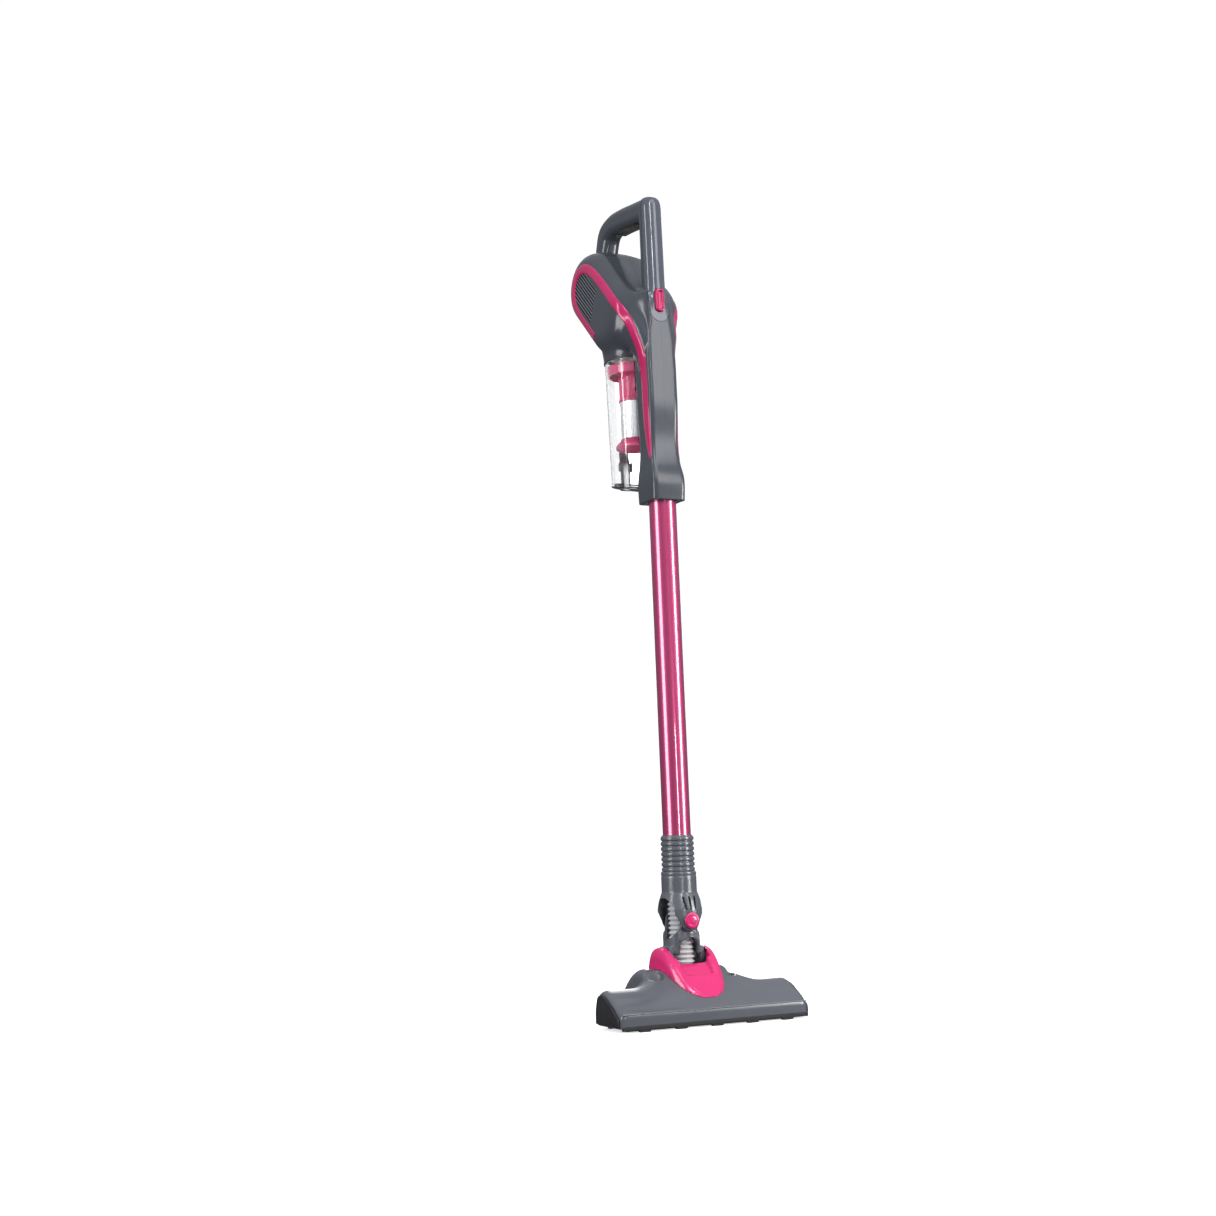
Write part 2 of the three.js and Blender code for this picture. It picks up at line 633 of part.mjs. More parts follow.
/** Domed pink cap with the pin that joins fork and yoke. */
function pivotCap(side) {
  const inner = hoseRadius + 1.3;
  const seat = forkBellyRadius + seam;
  const profile = [[0, inner], [steerPinRadius, inner], [steerPinRadius, seat], [capRadius, seat],
    [capRadius, seat + 1.6], [capRadius - 1.5, seat + 2.8], [0, seat + 3.2]];
  const cap = turned(profile, smallRound + 4, 'y');
  const geometry = surface(cap);
  if (side < 0) geometry.rotateZ(Math.PI);
  return solid(moved(geometry, 0, 0, steerRise));
}

function cuff() {
  const low = steerRise + 41;
  const shoulder = steerRise + 61 + seam;
  const stop = cuffTop - wandInCuff - seam;
  const bore = wandRadius + seam;
  const pitch = (cuffTop - shoulder) / cuffRibCount;
  const ribs = [];
  for (let i = 0; i < cuffRibCount; i++) {
    const z = shoulder + i * pitch;
    ribs.push([cuffRibRadius, z], [cuffRibRadius, z + pitch * 0.6], [cuffRibRadius - 1.6, z + pitch * 0.8]);
  }
  ribs.push([cuffRibRadius - 1.6, cuffTop]);
  return turned([[bore, cuffTop], [bore, stop], [bore - 3, stop], [bore - 3, low],
    [19.3, low], [19.3, shoulder], ...ribs, [bore, cuffTop]], bigRound);
}

add(neck, 'yoke', yoke(), greyShell);
add(neck, 'lower_hose', hose(-hoseRadius, steerRise - 14, 5), greyTrim);
add(neck, 'fork', fork(), greyShell);
add(neck, 'pivot_cap_front', pivotCap(-1), pinkGloss);
add(neck, 'pivot_cap_rear', pivotCap(1), pinkGloss);
add(neck, 'upper_hose', hose(steerRise + 2, steerRise + 41 - seam, 4), greyTrim);
add(neck, 'cuff', cuff(), greyTrim);

// ================================================================ wand
add(root, 'wand', turned(ring(wandRadius - wandWall, wandRadius, wandBottom, wandTop), bigRound), pinkMetal);

// ============================================================ handheld unit (heights above its lower end)
const cupAxisTop = cupFrontY + cupTopRadius;
const collarRadius = cupTopRadius + 1.2;

/** Half width of the capsule paired with its radius in the YZ plane. */
const capsuleRows = [[capsuleHalfWidth, 30], [47.5, 37.5], [42, 44], [32, 49.5], [16, capsuleRadius]];

function capsuleForm(inset) {
  const rows = capsuleRows.map(([x, radius]) => [x - inset, radius - inset]);
  const both = [...rows.map(([x, radius]) => [-x, radius]), ...rows.slice().reverse()];
  return loft(both.map(([x, radius]) => stadium(radius, 0, capsuleLength)
    .map(([y, z]) => new THREE.Vector3(x, y, z))));
}

const shoulderRows = [[60, 268, 46, 44], [36, 250, 42, 36], [12, 226, 34, 26], [3, 200, 26, 22],
  [1.8, 170, 22.5, 20.8], [1.8, 140, 22, 20.8]];
const barRows = [[0, columnTop - 16, 14.5, 15.5], [35, columnTop - 11, 14, 16],
  [73, columnTop - 6, 14, 16], [97, columnTop - 4, 14, 15.5], [120, columnTop - 12, 14, 16],
  [129, columnTop - 30, 14, 15], [136, columnTop - 55, 14.5, 14.5], [140, 335, 15, 14.5]];
const spineRows = [[0, -23.8, 24.9, 24.5], [31, -23.8, 24.9, 24.5], [48, -20, 22.8, 22.5],
  [140, -19, 22.6, 22], [232, -17.5, 24, 21.8], [262, -16.6, 16, 19.6], [296, -15.8, 8, 15.6]];
const columnRows = [[262, -16, 6.3, columnHalfWidth], [314, -15.3, 6.3, columnHalfWidth],
  [328, -15, 13.9, columnHalfWidth], [columnTop - 9, -13.6, 13.9, columnHalfWidth],
  [columnTop - 3, -12, 13.5, columnHalfWidth - 2.5], [columnTop, -8, 12, columnHalfWidth - 7]];

/** Outer form of the casing, drawn in by an inset. */
function bodyForm(inset) {
  const barSkin = sweep(barRows, inset, 9, 9);
  const shoulder = sweep(shoulderRows, inset, 19, 7);
  const topped = (rows) => rows.map(([z, front, back, half], i) =>
    [i === rows.length - 1 ? z - inset : z, front, back, half]);
  const spine = tower(spineRows, inset, 8);
  const column = tower(topped(columnRows), inset, 9);
  const collar = turned(disc(collarRadius - inset, 190, collarTop), bigRound, 'z', [0, cupAxisTop, 0]);
  return join(capsuleForm(inset), shoulder, spine, column, barSkin, collar);
}

/** Space kept free for the dust cup and for taking it off downward. */
const cupSpace = block(-60, 60, cupFrontY - 0.6, 120, -10, cupTop + 2.5);
const wandSocket = turned(disc(wandRadius + seam, -5, socketDepth), bigRound);

/** Outline of the trim band in the YZ plane, drawn out by a clearance. */
function bandOutline(clearance) {
  const at = (along, off) => [
    capsuleTop.y + down45 * along - down45 * off, capsuleTop.z + down45 * along + down45 * off];
  const arc = (radius, reverse) => {
    const points = [];
    for (let i = 0; i <= 10; i++) {
      const angle = -Math.PI / 4 + Math.PI * (reverse ? 10 - i : i) / 10;
      points.push([capsuleTop.y + radius * Math.cos(angle), capsuleTop.z + radius * Math.sin(angle)]);
    }
    return points;
  };
  const smooth = (points) => new THREE.SplineCurve(points.map(([y, z]) => new THREE.Vector2(y, z)))
    .getPoints(12).map((point) => [point.x, point.y]);
  const outer = bandOuter + clearance;
  const inner = bandInner - clearance;
  const front = smooth([at(40, -outer), at(62, -outer), at(84, -outer + 1), [9 - clearance, 262],
    [-5 - clearance, 232], [-11 - clearance, 195], [-13.5 - clearance, 140], [-15 - clearance, 80],
    [-14, 50 - clearance]]);
  const back = smooth([[-14, 50 - clearance], [-7 + clearance, 80], [-3.5 + clearance, 140],
    [1 + clearance, 195], [8 + clearance, 228], [21 + clearance, 254], at(84, -inner), at(62, -inner),
    at(40, -inner)]);
  return [at(74 + clearance, outer), ...arc(outer, false), ...front, ...back.slice(1), ...arc(inner, true),
    at(70 + clearance, inner)];
}

const grilleOutline = (clearance) =>
  stadium(grilleRadius + clearance, 0, grilleLength - grilleRadius + clearance, 9);

/** Space taken by the column's front cover, drawn out by a clearance. */
function coverSpace(clearance) {
  const half = columnHalfWidth - 0.8 + clearance;
  const wide = 30;
  const low = buttonBottom + 1;
  const step = buttonBottom + buttonHeight + 6 - clearance;   // above it the cover is as wide as the column
  const above = columnTop + 13;
  const outline = [[wide, above], [-wide, above], [-wide, step], [-half, step], [-half, low]];
  for (let i = 1; i < 10; i++) {
    const angle = Math.PI + Math.PI * i / 10;
    outline.push([half * Math.cos(angle), low + (14 + clearance) * Math.sin(angle)]);
  }
  outline.push([half, low], [half, step], [wide, step]);
  return prism(outline, 'y', -40, -3 + clearance);
}

const ductRadius = 14.5;
const inletZ = 178;              // middle of the opening into the cyclone
const ductPath = [[2, socketDepth + 4], [2, 128], [3, 150], [8, 167], [16, 176], [23, inletZ], [30, inletZ]];

/** Bent suction pipe from the wand's socket up to the cyclone's inlet. */
function ductSkin(radius, bore = 0) {
  const rows = ductPath.map(([y, z]) => new THREE.Vector3(0, y, z));
  const circle = (r) => {
    const path = new THREE.Path();
    for (let i = 0; i < smallRound; i++) {
      const angle = 2 * Math.PI * i / smallRound;
      if (i === 0) path.moveTo(r, 0);
      else path.lineTo(r * Math.cos(angle), r * Math.sin(angle));
    }
    return path.getPoints();
  };
  const shape = new THREE.Shape(circle(radius));
  if (bore) shape.holes.push(new THREE.Path(circle(bore)));
  const extrudePath = new THREE.CatmullRomCurve3(rows);
  return solid(new THREE.ExtrudeGeometry(shape, { steps: 9, extrudePath, bevelEnabled: false }));
}

function buttonSpace(clearance) {
  const half = buttonHalfWidth + clearance;
  const low = buttonBottom - clearance;
  const high = buttonBottom + buttonHeight + clearance;
  return prism(roundRect(-half, half, low, high, 4 + clearance), 'y', -40, -9);
}

const outerBody = bodyForm(0);
const innerBody = bodyForm(wall);
const bandDepth = bodyForm(1.6);
const raisedBody = bodyForm(-bandProud);

function bodyShell() {
  const cavity = cut(innerBody, block(-60, 60, -60, 60, -10, socketDepth + 4));
  const half = block(-80, -seam / 2, -80, 200, -10, columnTop + 43);
  const grooves = cut(prism(bandOutline(seam), 'x', -80, 0), bodyForm(1.6 + seam));
  const grilleHole = prism(grilleOutline(seam), 'x', -80, -30);
  const collarBore = turned(disc(collarRadius - wall, 190, collarTop - wall), bigRound, 'z',
    [0, cupAxisTop, 0]);
  const gripPocket = gripSpace(seam);
  return cut(outerBody.intersect(half), cavity, cupSpace, wandSocket, ductSkin(ductRadius + seam),
    turned(disc(ductRadius + seam, 24, 34), smallRound, 'y', [0, 0, inletZ]),
    turned(disc(ductRadius - 1.8, 30, 50), bigRound), grooves, grilleHole,
    collarBore, coverSpace(seam), buttonSpace(1), gripPocket);
}

/** Space of the ribbed pad let into the underside of the handle bar. */
function gripSpace(clearance) {
  const half = gripPadHalf + clearance;
  const region = block(-half, half, 24 - clearance, 92 + clearance, columnTop - 37, columnTop - 12);
  return cut(sweep(barRows, -1.5, 9, 9), sweep(barRows, 1.6 + clearance, 9, 9)).intersect(region);
}

function trimBand() {
  return cut(raisedBody.intersect(prism(bandOutline(0), 'x', -80, -1)), bandDepth);
}

function grille() {
  const plate = cut(outerBody.intersect(prism(grilleOutline(0), 'x', -80, -30)), bodyForm(2.2));
  const slots = [];
  const pitch = 2 * (grilleRadius - 4) / grilleSlotCount;
  for (let i = 0; i < grilleSlotCount; i++) {
    const off = (i - (grilleSlotCount - 1) / 2) * pitch;
    const rise = Math.sqrt(Math.max(0, (grilleRadius - 3.5) ** 2 - off * off));
    const half = pitch * 0.27;
    const corner = (along, side) => [
      capsuleTop.y + down45 * along - down45 * side, capsuleTop.z + down45 * along + down45 * side];
    const slotEnd = grilleLength - grilleRadius;
    const outline = [corner(-rise, off - half), corner(-rise, off + half),
      corner(slotEnd, off + half), corner(slotEnd, off - half)];
    slots.push(prism(outline, 'x', -80, -30));
  }
  return cut(plate, ...slots);
}

function columnCover() {
  const skin = cut(outerBody, innerBody);
  return cut(skin.intersect(coverSpace(0)), buttonSpace(0.4));
}

function powerButton() {
  const face = buttonSpace(0).intersect(block(-20, 20, -19.6, buttonBack, 0, columnTop));
  const dish = roundRect(-3.2, 3.2, buttonBottom + 5, buttonBottom + buttonHeight - 5, 3);
  const dishCut = prism(dish, 'y', -30, -18.4);
  const flange = block(-buttonHalfWidth - buttonFlange, buttonHalfWidth + buttonFlange,
    buttonBack - 0.01, buttonBack + buttonFlange,
    buttonBottom - buttonFlange, buttonBottom + buttonHeight + buttonFlange);
  return join(cut(face, dishCut), flange);
}

function dustCup() {
  const rings = (inset) => {
    const rows = [[cupTop + (inset ? 1 : 0), cupTopRadius], [8, cupBottomRadius]];
    return loft(rows.map(([z, radius]) => {
      const points = [];
      for (let i = 0; i < cupRound; i++) {
        const angle = 2 * Math.PI * i / cupRound;
        points.push(new THREE.Vector3((radius - inset) * Math.cos(angle),
          cupFrontY + radius + (radius - inset) * Math.sin(angle), z));
      }
      return points;
    }));
  };
  const notch = block(-ductRadius - 2, ductRadius + 2, 10, 45, 157, cupTop + 5);
  const hingeNotch = block(-7.5, 7.5, 10, cupFrontY + 5.5, -10, cupLowFront + 12);
  return cut(rings(0), rings(cupWall), slantedBelow(0), notch, hingeNotch);
}

/** Everything below the cup's slanted rim, shifted down by a distance. */
function slantedBelow(down) {
  const slope = (cupLowBack - cupLowFront) / (2 * cupTopRadius);
  const at = (y) => cupLowFront + slope * (y - cupFrontY) - down;
  return prism([[0, -80], [150, -80], [150, at(150)], [0, at(0)]], 'x', -80, 80);
}

const lidHinge = { y: cupFrontY + 2.6, z: cupLowFront - 2.2 };
const lidPinRadius = 1.5;
const latchPivot = { y: 103.4, z: 68 };
const latchPinRadius = 1.6;

/** Ears of the cup that carry the lid's pin, drawn out by a clearance. */
const lidEars = (clearance) => [-1, 1].map((side) => {
  const near = side * (7.6 - clearance);
  const far = side * (11.4 + clearance);
  return block(Math.min(near, far), Math.max(near, far), cupFrontY - clearance, cupFrontY + 5.4 + clearance,
    lidHinge.z - 2.8 - clearance, cupLowFront + 14);
});

/** Room in the lid for those ears to stay clear of it as it swings. */
const lidEarRoom = () => [-1, 1].map((side) => {
  const ends = [side * (7.6 - seam), side * (11.4 + seam)];
  return turned(disc(4.5, Math.min(...ends), Math.max(...ends)), smallRound, 'x',
    [0, lidHinge.y, lidHinge.z]);
});

/** Ears of the cup that carry the latch. */
const latchEars = () => [-1, 1].map((side) => {
  const near = side * 7.8;
  const far = side * 10.4;
  return block(Math.min(near, far), Math.max(near, far), 98, latchPivot.y + 2.4,
    latchPivot.z - 5, latchPivot.z + 5);
});

const pinAcross = (radius, reach, place) =>
  turned(disc(radius, -reach, reach), smallRound, 'x', [0, place.y, place.z]);

function finishedCup() {
  const inside = turned(disc(cupBottomRadius - cupWall - 1, 0, 190), bigRound, 'z',
    [0, cupFrontY + cupBottomRadius, 0]);
  const ears = [...lidEars(0), ...latchEars().map((ear) => cut(ear, inside))];
  return cut(join(dustCup(), ...ears),
    pinAcross(lidPinRadius + seam, 30, lidHinge), pinAcross(latchPinRadius + seam, 30, latchPivot));
}

function cupLid() {
  const radius = cupTopRadius - 1.8;
  const disk = turned(disc(radius, -20, 60), bigRound, 'z', [0, cupFrontY + radius + 0.4, 0]);
  const plate = cut(disk.intersect(slantedBelow(seam)), slantedBelow(4),
    block(-60, 60, 0, lidHinge.y + 1.5, -20, 60));
  const knuckle = join(pinAcross(2.6, 7.2, lidHinge),
    block(-7.2, 7.2, lidHinge.y, lidHinge.y + 5, lidHinge.z - 1.6, lidHinge.z + 1.4));
  return cut(join(plate, knuckle), pinAcross(lidPinRadius + seam, 20, lidHinge), ...lidEars(seam),
    ...lidEarRoom());
}

/** Gasket on top of the lid, inside the cup. */
function lidSeal() {
  const radius = cupBottomRadius - cupWall - 0.4;
  const gasket = turned(ring(radius - 3.5, radius, 0, 80), bigRound, 'z',
    [0, cupFrontY + cupBottomRadius, 0]);
  const layer = cut(gasket.intersect(slantedBelow(-2.2)), slantedBelow(0));
  return cut(layer, ...lidEars(seam), pinAcross(3.2, 20, lidHinge));
}

function lidLatch() {
  const { y, z } = latchPivot;
  const side = [[y - 2, z - 24], [y - 2, z + 4], [y + 3.2, z + 23], [y + 5.8, z + 22], [y + 2.2, z + 2],
    [y + 1.6, z - 20], [y + 1.2, z - 31.8], [y - 6.2, z - 31.8], [y - 6.2, z - 29.4], [y - 2, z - 29.4]];
  return join(prism(side, 'x', -7.4, 7.4), pinAcross(latchPinRadius, 10.2, latchPivot));
}

// ---------------------------------------------------------------- cyclone and filters
const coreAt = [0, cupAxisTop, 0];
const coreRadius = 21.5;
const skirtRadius = 28.7;
const plateTop = cupTop - 7;     // disc that closes the cup off above the cyclone
const plateLow = cupTop - 16;

function cyclone() {
  const plate = turned(ring(coreRadius - 2, cupTopRadius - cupWall - 0.8, plateLow, plateTop), bigRound,
    'z', coreAt);
  const tube = turned(ring(coreRadius - 2, coreRadius, meshTop, plateLow + 1), bigRound, 'z', coreAt);
  const neckTube = turned(ring(coreRadius - 2, coreRadius + 2, plateTop - 1, cupTop + 2.5), bigRound,
    'z', coreAt);
  const inlet = cut(block(-ductRadius - 1, ductRadius + 1, 30.5, cupAxisTop - 8, inletZ - 16, 192),
    turned(disc(ductRadius - 1.5, 20, cupAxisTop - 16), smallRound, 'y', [0, 0, inletZ]),
    turned(disc(coreRadius - 1, 100, 210), bigRound, 'z', coreAt));
  const ductSpace = block(-ductRadius - seam, ductRadius + seam, 10, 30.4, 150, cupTop + 5);
  return cut(join(plate, tube, neckTube, inlet), ductSpace);
}

/** Close a profile of [radius, height] corners and turn it about the cup's upright axis. */
const aroundCup = (profile) => turned([...profile, profile[0]], bigRound, 'z', coreAt);
const meshTop = 150;
const meshLow = 99;
const skirtLow = 86;
const filterLow = cupTop + 3;
const filterOuter = collarRadius - wall - seam;

const meshFilter = () => aroundCup([[coreRadius - 2, meshLow], [coreRadius - 0.3, meshLow],
  [coreRadius - 0.3, meshTop - seam], [coreRadius - 2, meshTop - seam]]);
const skirt = () => aroundCup([[coreRadius - 4, meshLow - seam], [coreRadius, meshLow - seam],
  [skirtRadius, skirtLow + 2], [skirtRadius, skirtLow], [skirtRadius - 2, skirtLow],
  [coreRadius - 2, meshLow - 2], [coreRadius - 4, meshLow - 2]]);
const fineFilter = () => turned([[0, filterLow + 2.5], [25, filterLow + 2.5], [26, filterLow],
  [filterOuter, filterLow], [filterOuter, collarTop - 9], [0, collarTop - 9]], bigRound, 'z', coreAt);

/** Ring between the cup's rim and the casing, open where the suction duct passes. */
function cupSeal() {
  const gasket = turned(ring(34.6, cupTopRadius - 0.3, cupTop + seam, cupTop + 2.5 - seam), bigRound,
    'z', coreAt);
  return cut(gasket, block(-ductRadius - 2, ductRadius + 2, 10, 32, 150, 260));
}

// ---------------------------------------------------------------- motor, on the capsule's 45 degree axis
const motorAt = [0, capsuleTop.y + down45 * 34, capsuleTop.z + down45 * 34];
const shaftRadius = 3;
const bearingRadius = 8;
const tilted = (profile, facets = bigRound) => turned(profile, facets, 'tilt', motorAt);

const bearingSeat = bearingRadius + seam;
const motorRadius = 30;
const motorInner = motorRadius - wall;

const motorHousing = () => tilted([[14, -30], [motorRadius, -30], [motorRadius, 26], [motorInner, 26],
  [motorInner, -11], [bearingSeat, -11], [bearingSeat, -15], [motorInner, -15], [motorInner, -27.5],
  [14, -27.5], [14, -30]]);
const motorCap = () => tilted([[bearingSeat, 26 + seam], [motorRadius, 26 + seam], [motorRadius, 29],
  [12, 29], [12, 31], [bearingSeat, 31], [bearingSeat, 26 + seam]]);
const rotorRadius = 17.3;
const stator = () => tilted(ring(rotorRadius + 0.7, motorInner - seam, -5, 11));
const rotor = () => tilted([[0, -26], [shaftRadius, -26], [shaftRadius, -4], [rotorRadius, -4],
  [rotorRadius, 10], [shaftRadius, 10], [shaftRadius, 30], [0, 30]], smallRound);
const bearing = (from) => tilted(ring(shaftRadius + 0.2, bearingRadius, from, from + 4), smallRound);
const motorMount = () => cut(
  capsuleForm(wall + seam).intersect(tilted(disc(60, -6, 0))),
  tilted(disc(motorRadius + seam, -7, 1)));

/** Disc with curved vanes that draws the air. */
function fan() {
  const hub = tilted([[shaftRadius + 0.2, -25], [7, -25], [7, -19], [25, -19], [25, -17],
    [shaftRadius + 0.2, -17], [shaftRadius + 0.2, -25]], smallRound);
  const vanes = [];
  for (let i = 0; i < 7; i++) {
    const vane = new THREE.BoxGeometry(17.5, 1.2, 6.4);
    vane.translate(15.5, 0, -21.8);
    vane.rotateZ(2 * Math.PI * i / 7);
    vane.rotateX(-Math.PI / 4);
    vanes.push(solid(moved(vane, ...motorAt)));
  }
  return join(hub, ...vanes);
}

// ---------------------------------------------------------------- battery and electrics
const cellUpright = (x, y, z) => turned(disc(cellRadius, z, z + cellLength), smallRound, 'z', [x, y, 0]);
const cellY = 11.5;
const boardY = -6;
const cellZ = 197;
const handleCellY = 29;
const handleCellZ = columnTop - 7.7;
const columnCellZ = columnTop - 95;
const batteryTray = () => prism(roundRect(-18.6, 18.6, boardY + 1.6 + seam, 20.6, 5.6, 3),
  'z', cellZ - 3, cellZ - seam);
const boardTop = buttonBottom + buttonHeight - 2;
const boardHalf = [[cellZ - 3, 15], [250, 15], [258, 9], [boardTop, 9]];
const circuitBoard = () => prism([...boardHalf.map(([z, x]) => [x, z]),
  ...boardHalf.map(([z, x]) => [-x, z]).reverse()], 'y', boardY, boardY + 1.6);
const switchFront = buttonBack + buttonFlange + buttonTravel + 0.5;
const powerSwitch = () => block(-5, 5, switchFront, boardY - seam, buttonBottom + 8, buttonBottom + 23);
const socketAt = [0, 9, 150];
const socketRadius = 4.8;
const plugRadius = 3.3;
const chargeSocket = () => cut(turned(disc(socketRadius, 15, 21.4), smallRound, 'x', socketAt),
  turned(disc(plugRadius, 17, 30), smallRound, 'x', socketAt));

const shell = bodyShell();
const band = trimBand();
const grillePlate = grille();
add(handheld, 'body_shell_left', shell, greyShell);
add(handheld, 'body_shell_right',
  cut(mirrorX(shell), turned(disc(socketRadius + seam, 0, 60), smallRound, 'x', socketAt)), greyShell);
add(handheld, 'trim_band_left', band, pinkGloss);
add(handheld, 'trim_band_right', mirrorX(band), pinkGloss);
add(handheld, 'grille_left', grillePlate, greyTrim);
add(handheld, 'grille_right', mirrorX(grillePlate), greyTrim);
add(handheld, 'column_cover', columnCover(), greyShell);
add(handheld, 'grip_pad', gripSpace(0), greyTrim);
add(handheld, 'power_button', powerButton(), pinkGloss);
add(handheld, 'power_switch', powerSwitch(), greyTrim);
add(handheld, 'circuit_board', circuitBoard(), boardGreen);
add(handheld, 'charge_socket', chargeSocket(), blackRubber);
add(handheld, 'battery_tray', batteryTray(), greyTrim);
add(handheld, 'battery_cell_1', cellUpright(-9.4, cellY, cellZ), cellWrap);
add(handheld, 'battery_cell_2', cellUpright(9.4, cellY, cellZ), cellWrap);
add(handheld, 'battery_cell_3', cellUpright(0, -1.4, columnCellZ), cellWrap);
add(handheld, 'battery_cell_4',
  turned(disc(cellRadius, handleCellY, handleCellY + cellLength), smallRound, 'y', [0, 0, handleCellZ]),
  cellWrap);
add(handheld, 'suction_duct', ductSkin(ductRadius, ductRadius - 1.8), greyTrim);
add(handheld, 'cyclone', cyclone(), pinkGloss);
add(handheld, 'mesh_filter', meshFilter(), steel);
add(handheld, 'cyclone_skirt', skirt(), pinkGloss);
add(handheld, 'fine_filter', fineFilter(), paper);
add(handheld, 'cup_seal', cupSeal(), blackRubber);
add(handheld, 'motor_housing', motorHousing(), greyTrim);
add(handheld, 'motor_cap', motorCap(), steel);
add(handheld, 'motor_mount', motorMount(), blackRubber);
add(handheld, 'stator', stator(), copper);
add(handheld, 'rotor', rotor(), steel);
add(handheld, 'fan', fan(), greyTrim);
add(handheld, 'bearing_lower', bearing(-15), steel);
add(handheld, 'bearing_upper', bearing(26.5), steel);
add(handheld, 'dust_cup', finishedCup(), clearCup);
add(handheld, 'cup_lid', cupLid(), clearCup);
add(handheld, 'lid_seal', lidSeal(), blackRubber);
add(handheld, 'lid_pin', pinAcross(lidPinRadius, 11.2, lidHinge), steel);
add(handheld, 'lid_latch', lidLatch(), greyTrim);

export default root;
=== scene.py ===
import math

import bmesh
import bpy
from mathutils import Matrix, Vector
from mathutils.bvhtree import BVHTree


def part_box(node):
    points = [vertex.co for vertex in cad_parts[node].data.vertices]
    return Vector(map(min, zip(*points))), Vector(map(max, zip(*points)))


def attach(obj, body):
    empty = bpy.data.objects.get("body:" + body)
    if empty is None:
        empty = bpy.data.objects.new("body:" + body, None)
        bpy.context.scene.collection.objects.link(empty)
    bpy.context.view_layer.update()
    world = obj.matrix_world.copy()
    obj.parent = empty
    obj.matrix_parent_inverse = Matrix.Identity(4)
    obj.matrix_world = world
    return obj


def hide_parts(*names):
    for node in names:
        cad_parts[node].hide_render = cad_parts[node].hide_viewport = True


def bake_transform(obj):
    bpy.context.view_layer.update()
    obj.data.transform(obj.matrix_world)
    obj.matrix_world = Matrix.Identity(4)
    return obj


# Cordless stick vacuum. All forms below are in millimetres, and build() brings them to metres.
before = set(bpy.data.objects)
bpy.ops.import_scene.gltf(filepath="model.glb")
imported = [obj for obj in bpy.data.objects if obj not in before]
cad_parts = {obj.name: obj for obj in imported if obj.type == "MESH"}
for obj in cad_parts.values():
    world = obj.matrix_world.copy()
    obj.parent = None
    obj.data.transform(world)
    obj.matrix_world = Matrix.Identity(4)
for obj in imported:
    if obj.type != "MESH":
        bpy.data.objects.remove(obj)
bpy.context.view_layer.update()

MM = 0.001


def middle_of(node):
    """Middle of a CAD node's box, in millimetres."""
    low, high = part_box(node)
    return (low + high) / (2 * MM)


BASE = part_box("body_shell_left")[0].z / MM      # lower end of the handheld unit
HINGE = middle_of("neck_pin_left").z            # lean-back hinge
STEER = middle_of("pivot_cap_front").z          # tipping hinge
DOWN = -math.sqrt(0.5)                          # capsule's slope
WALL = 2.5                                      # thickness of the moulded casings
SIDES = ((-1, "left"), (1, "right"))


# ---- numbers along a row
def smoothstep(value, low, high):
    share = min(1.0, max(0.0, (value - low) / (high - low)))
    return share * share * (3 - 2 * share)


def hermite(rows, key):
    """Smooth row between rows that are sorted by their first number."""
    last = len(rows) - 1
    key = min(max(key, rows[0][0]), rows[last][0])
    i = 0
    while i < last - 1 and rows[i + 1][0] < key:
        i += 1
    a, b = rows[i], rows[i + 1]
    width = b[0] - a[0]
    t = (key - a[0]) / width
    result = [key]
    for k in range(1, len(a)):
        slope = (b[k] - a[k]) / width
        start = end = slope
        if i > 0:
            before = a[0] - rows[i - 1][0]
            start = ((a[k] - rows[i - 1][k]) / before * width + slope * before) / (before + width)
        if i < last - 1:
            after = rows[i + 2][0] - b[0]
            end = ((rows[i + 2][k] - b[k]) / after * width + slope * after) / (after + width)
        result.append(
            (2 * t ** 3 - 3 * t ** 2 + 1) * a[k] + (t ** 3 - 2 * t ** 2 + t) * width * start
            + (3 * t ** 2 - 2 * t ** 3) * b[k] + (t ** 3 - t ** 2) * width * end)
    return result


def eased(rows, count):
    """count + 1 smooth rows between the first and the last."""
    low, high = rows[0][0], rows[-1][0]
    return [hermite(rows, low + (high - low) * i / count) for i in range(count + 1)]


def along_path(points, count):
    """Smooth line through points, with their other numbers carried along."""
    rows = [[0.0, *points[0]]]
    for before, here in zip(points, points[1:]):
        rows.append([rows[-1][0] + math.dist(before[:2], here[:2]), *here])
    return [row[1:] for row in eased(rows, count)]


def fillet(points, radius):
    """Corners turned into arcs. A corner may carry a radius of its own as its third number."""
    steps = 4
    nearly_straight, folded = 3.05, 0.02
    result = []
    for i, point in enumerate(points):
        here = Vector(point[:2])
        wanted = point[2] if len(point) > 2 else radius
        before = Vector(points[i - 1][:2]) - here
        after = Vector(points[(i + 1) % len(points)][:2]) - here
        angle = before.angle(after, math.pi)
        if wanted <= 0 or angle > nearly_straight or angle < folded:
            result.append(tuple(here))
            continue
        reach = min(wanted / math.tan(angle / 2), before.length * 0.49, after.length * 0.49)
        start = here + before.normalized() * reach
        end = here + after.normalized() * reach
        for k in range(steps + 1):
            t = k / steps
            result.append(tuple(start * (1 - t) ** 2 + here * 2 * t * (1 - t) + end * t * t))
    return result


def rectangle(u0, u1, v0, v1):
    return [(u0, v0), (u1, v0), (u1, v1), (u0, v1)]


def rounded_box(u0, u1, v0, v1, radius, steps=5):
    """Corners of a rectangle with round corners, always in the same order."""
    r = max(0.2, min(radius, (u1 - u0) / 2 - 0.01, (v1 - v0) / 2 - 0.01))
    centres = [(u1 - r, v1 - r), (u0 + r, v1 - r), (u0 + r, v0 + r), (u1 - r, v0 + r)]
    points = []
    for quarter, (u, v) in enumerate(centres):
        for k in range(steps + 1):
            angle = (quarter + k / steps) * math.pi / 2
            points.append((u + r * math.cos(angle), v + r * math.sin(angle)))
    return points


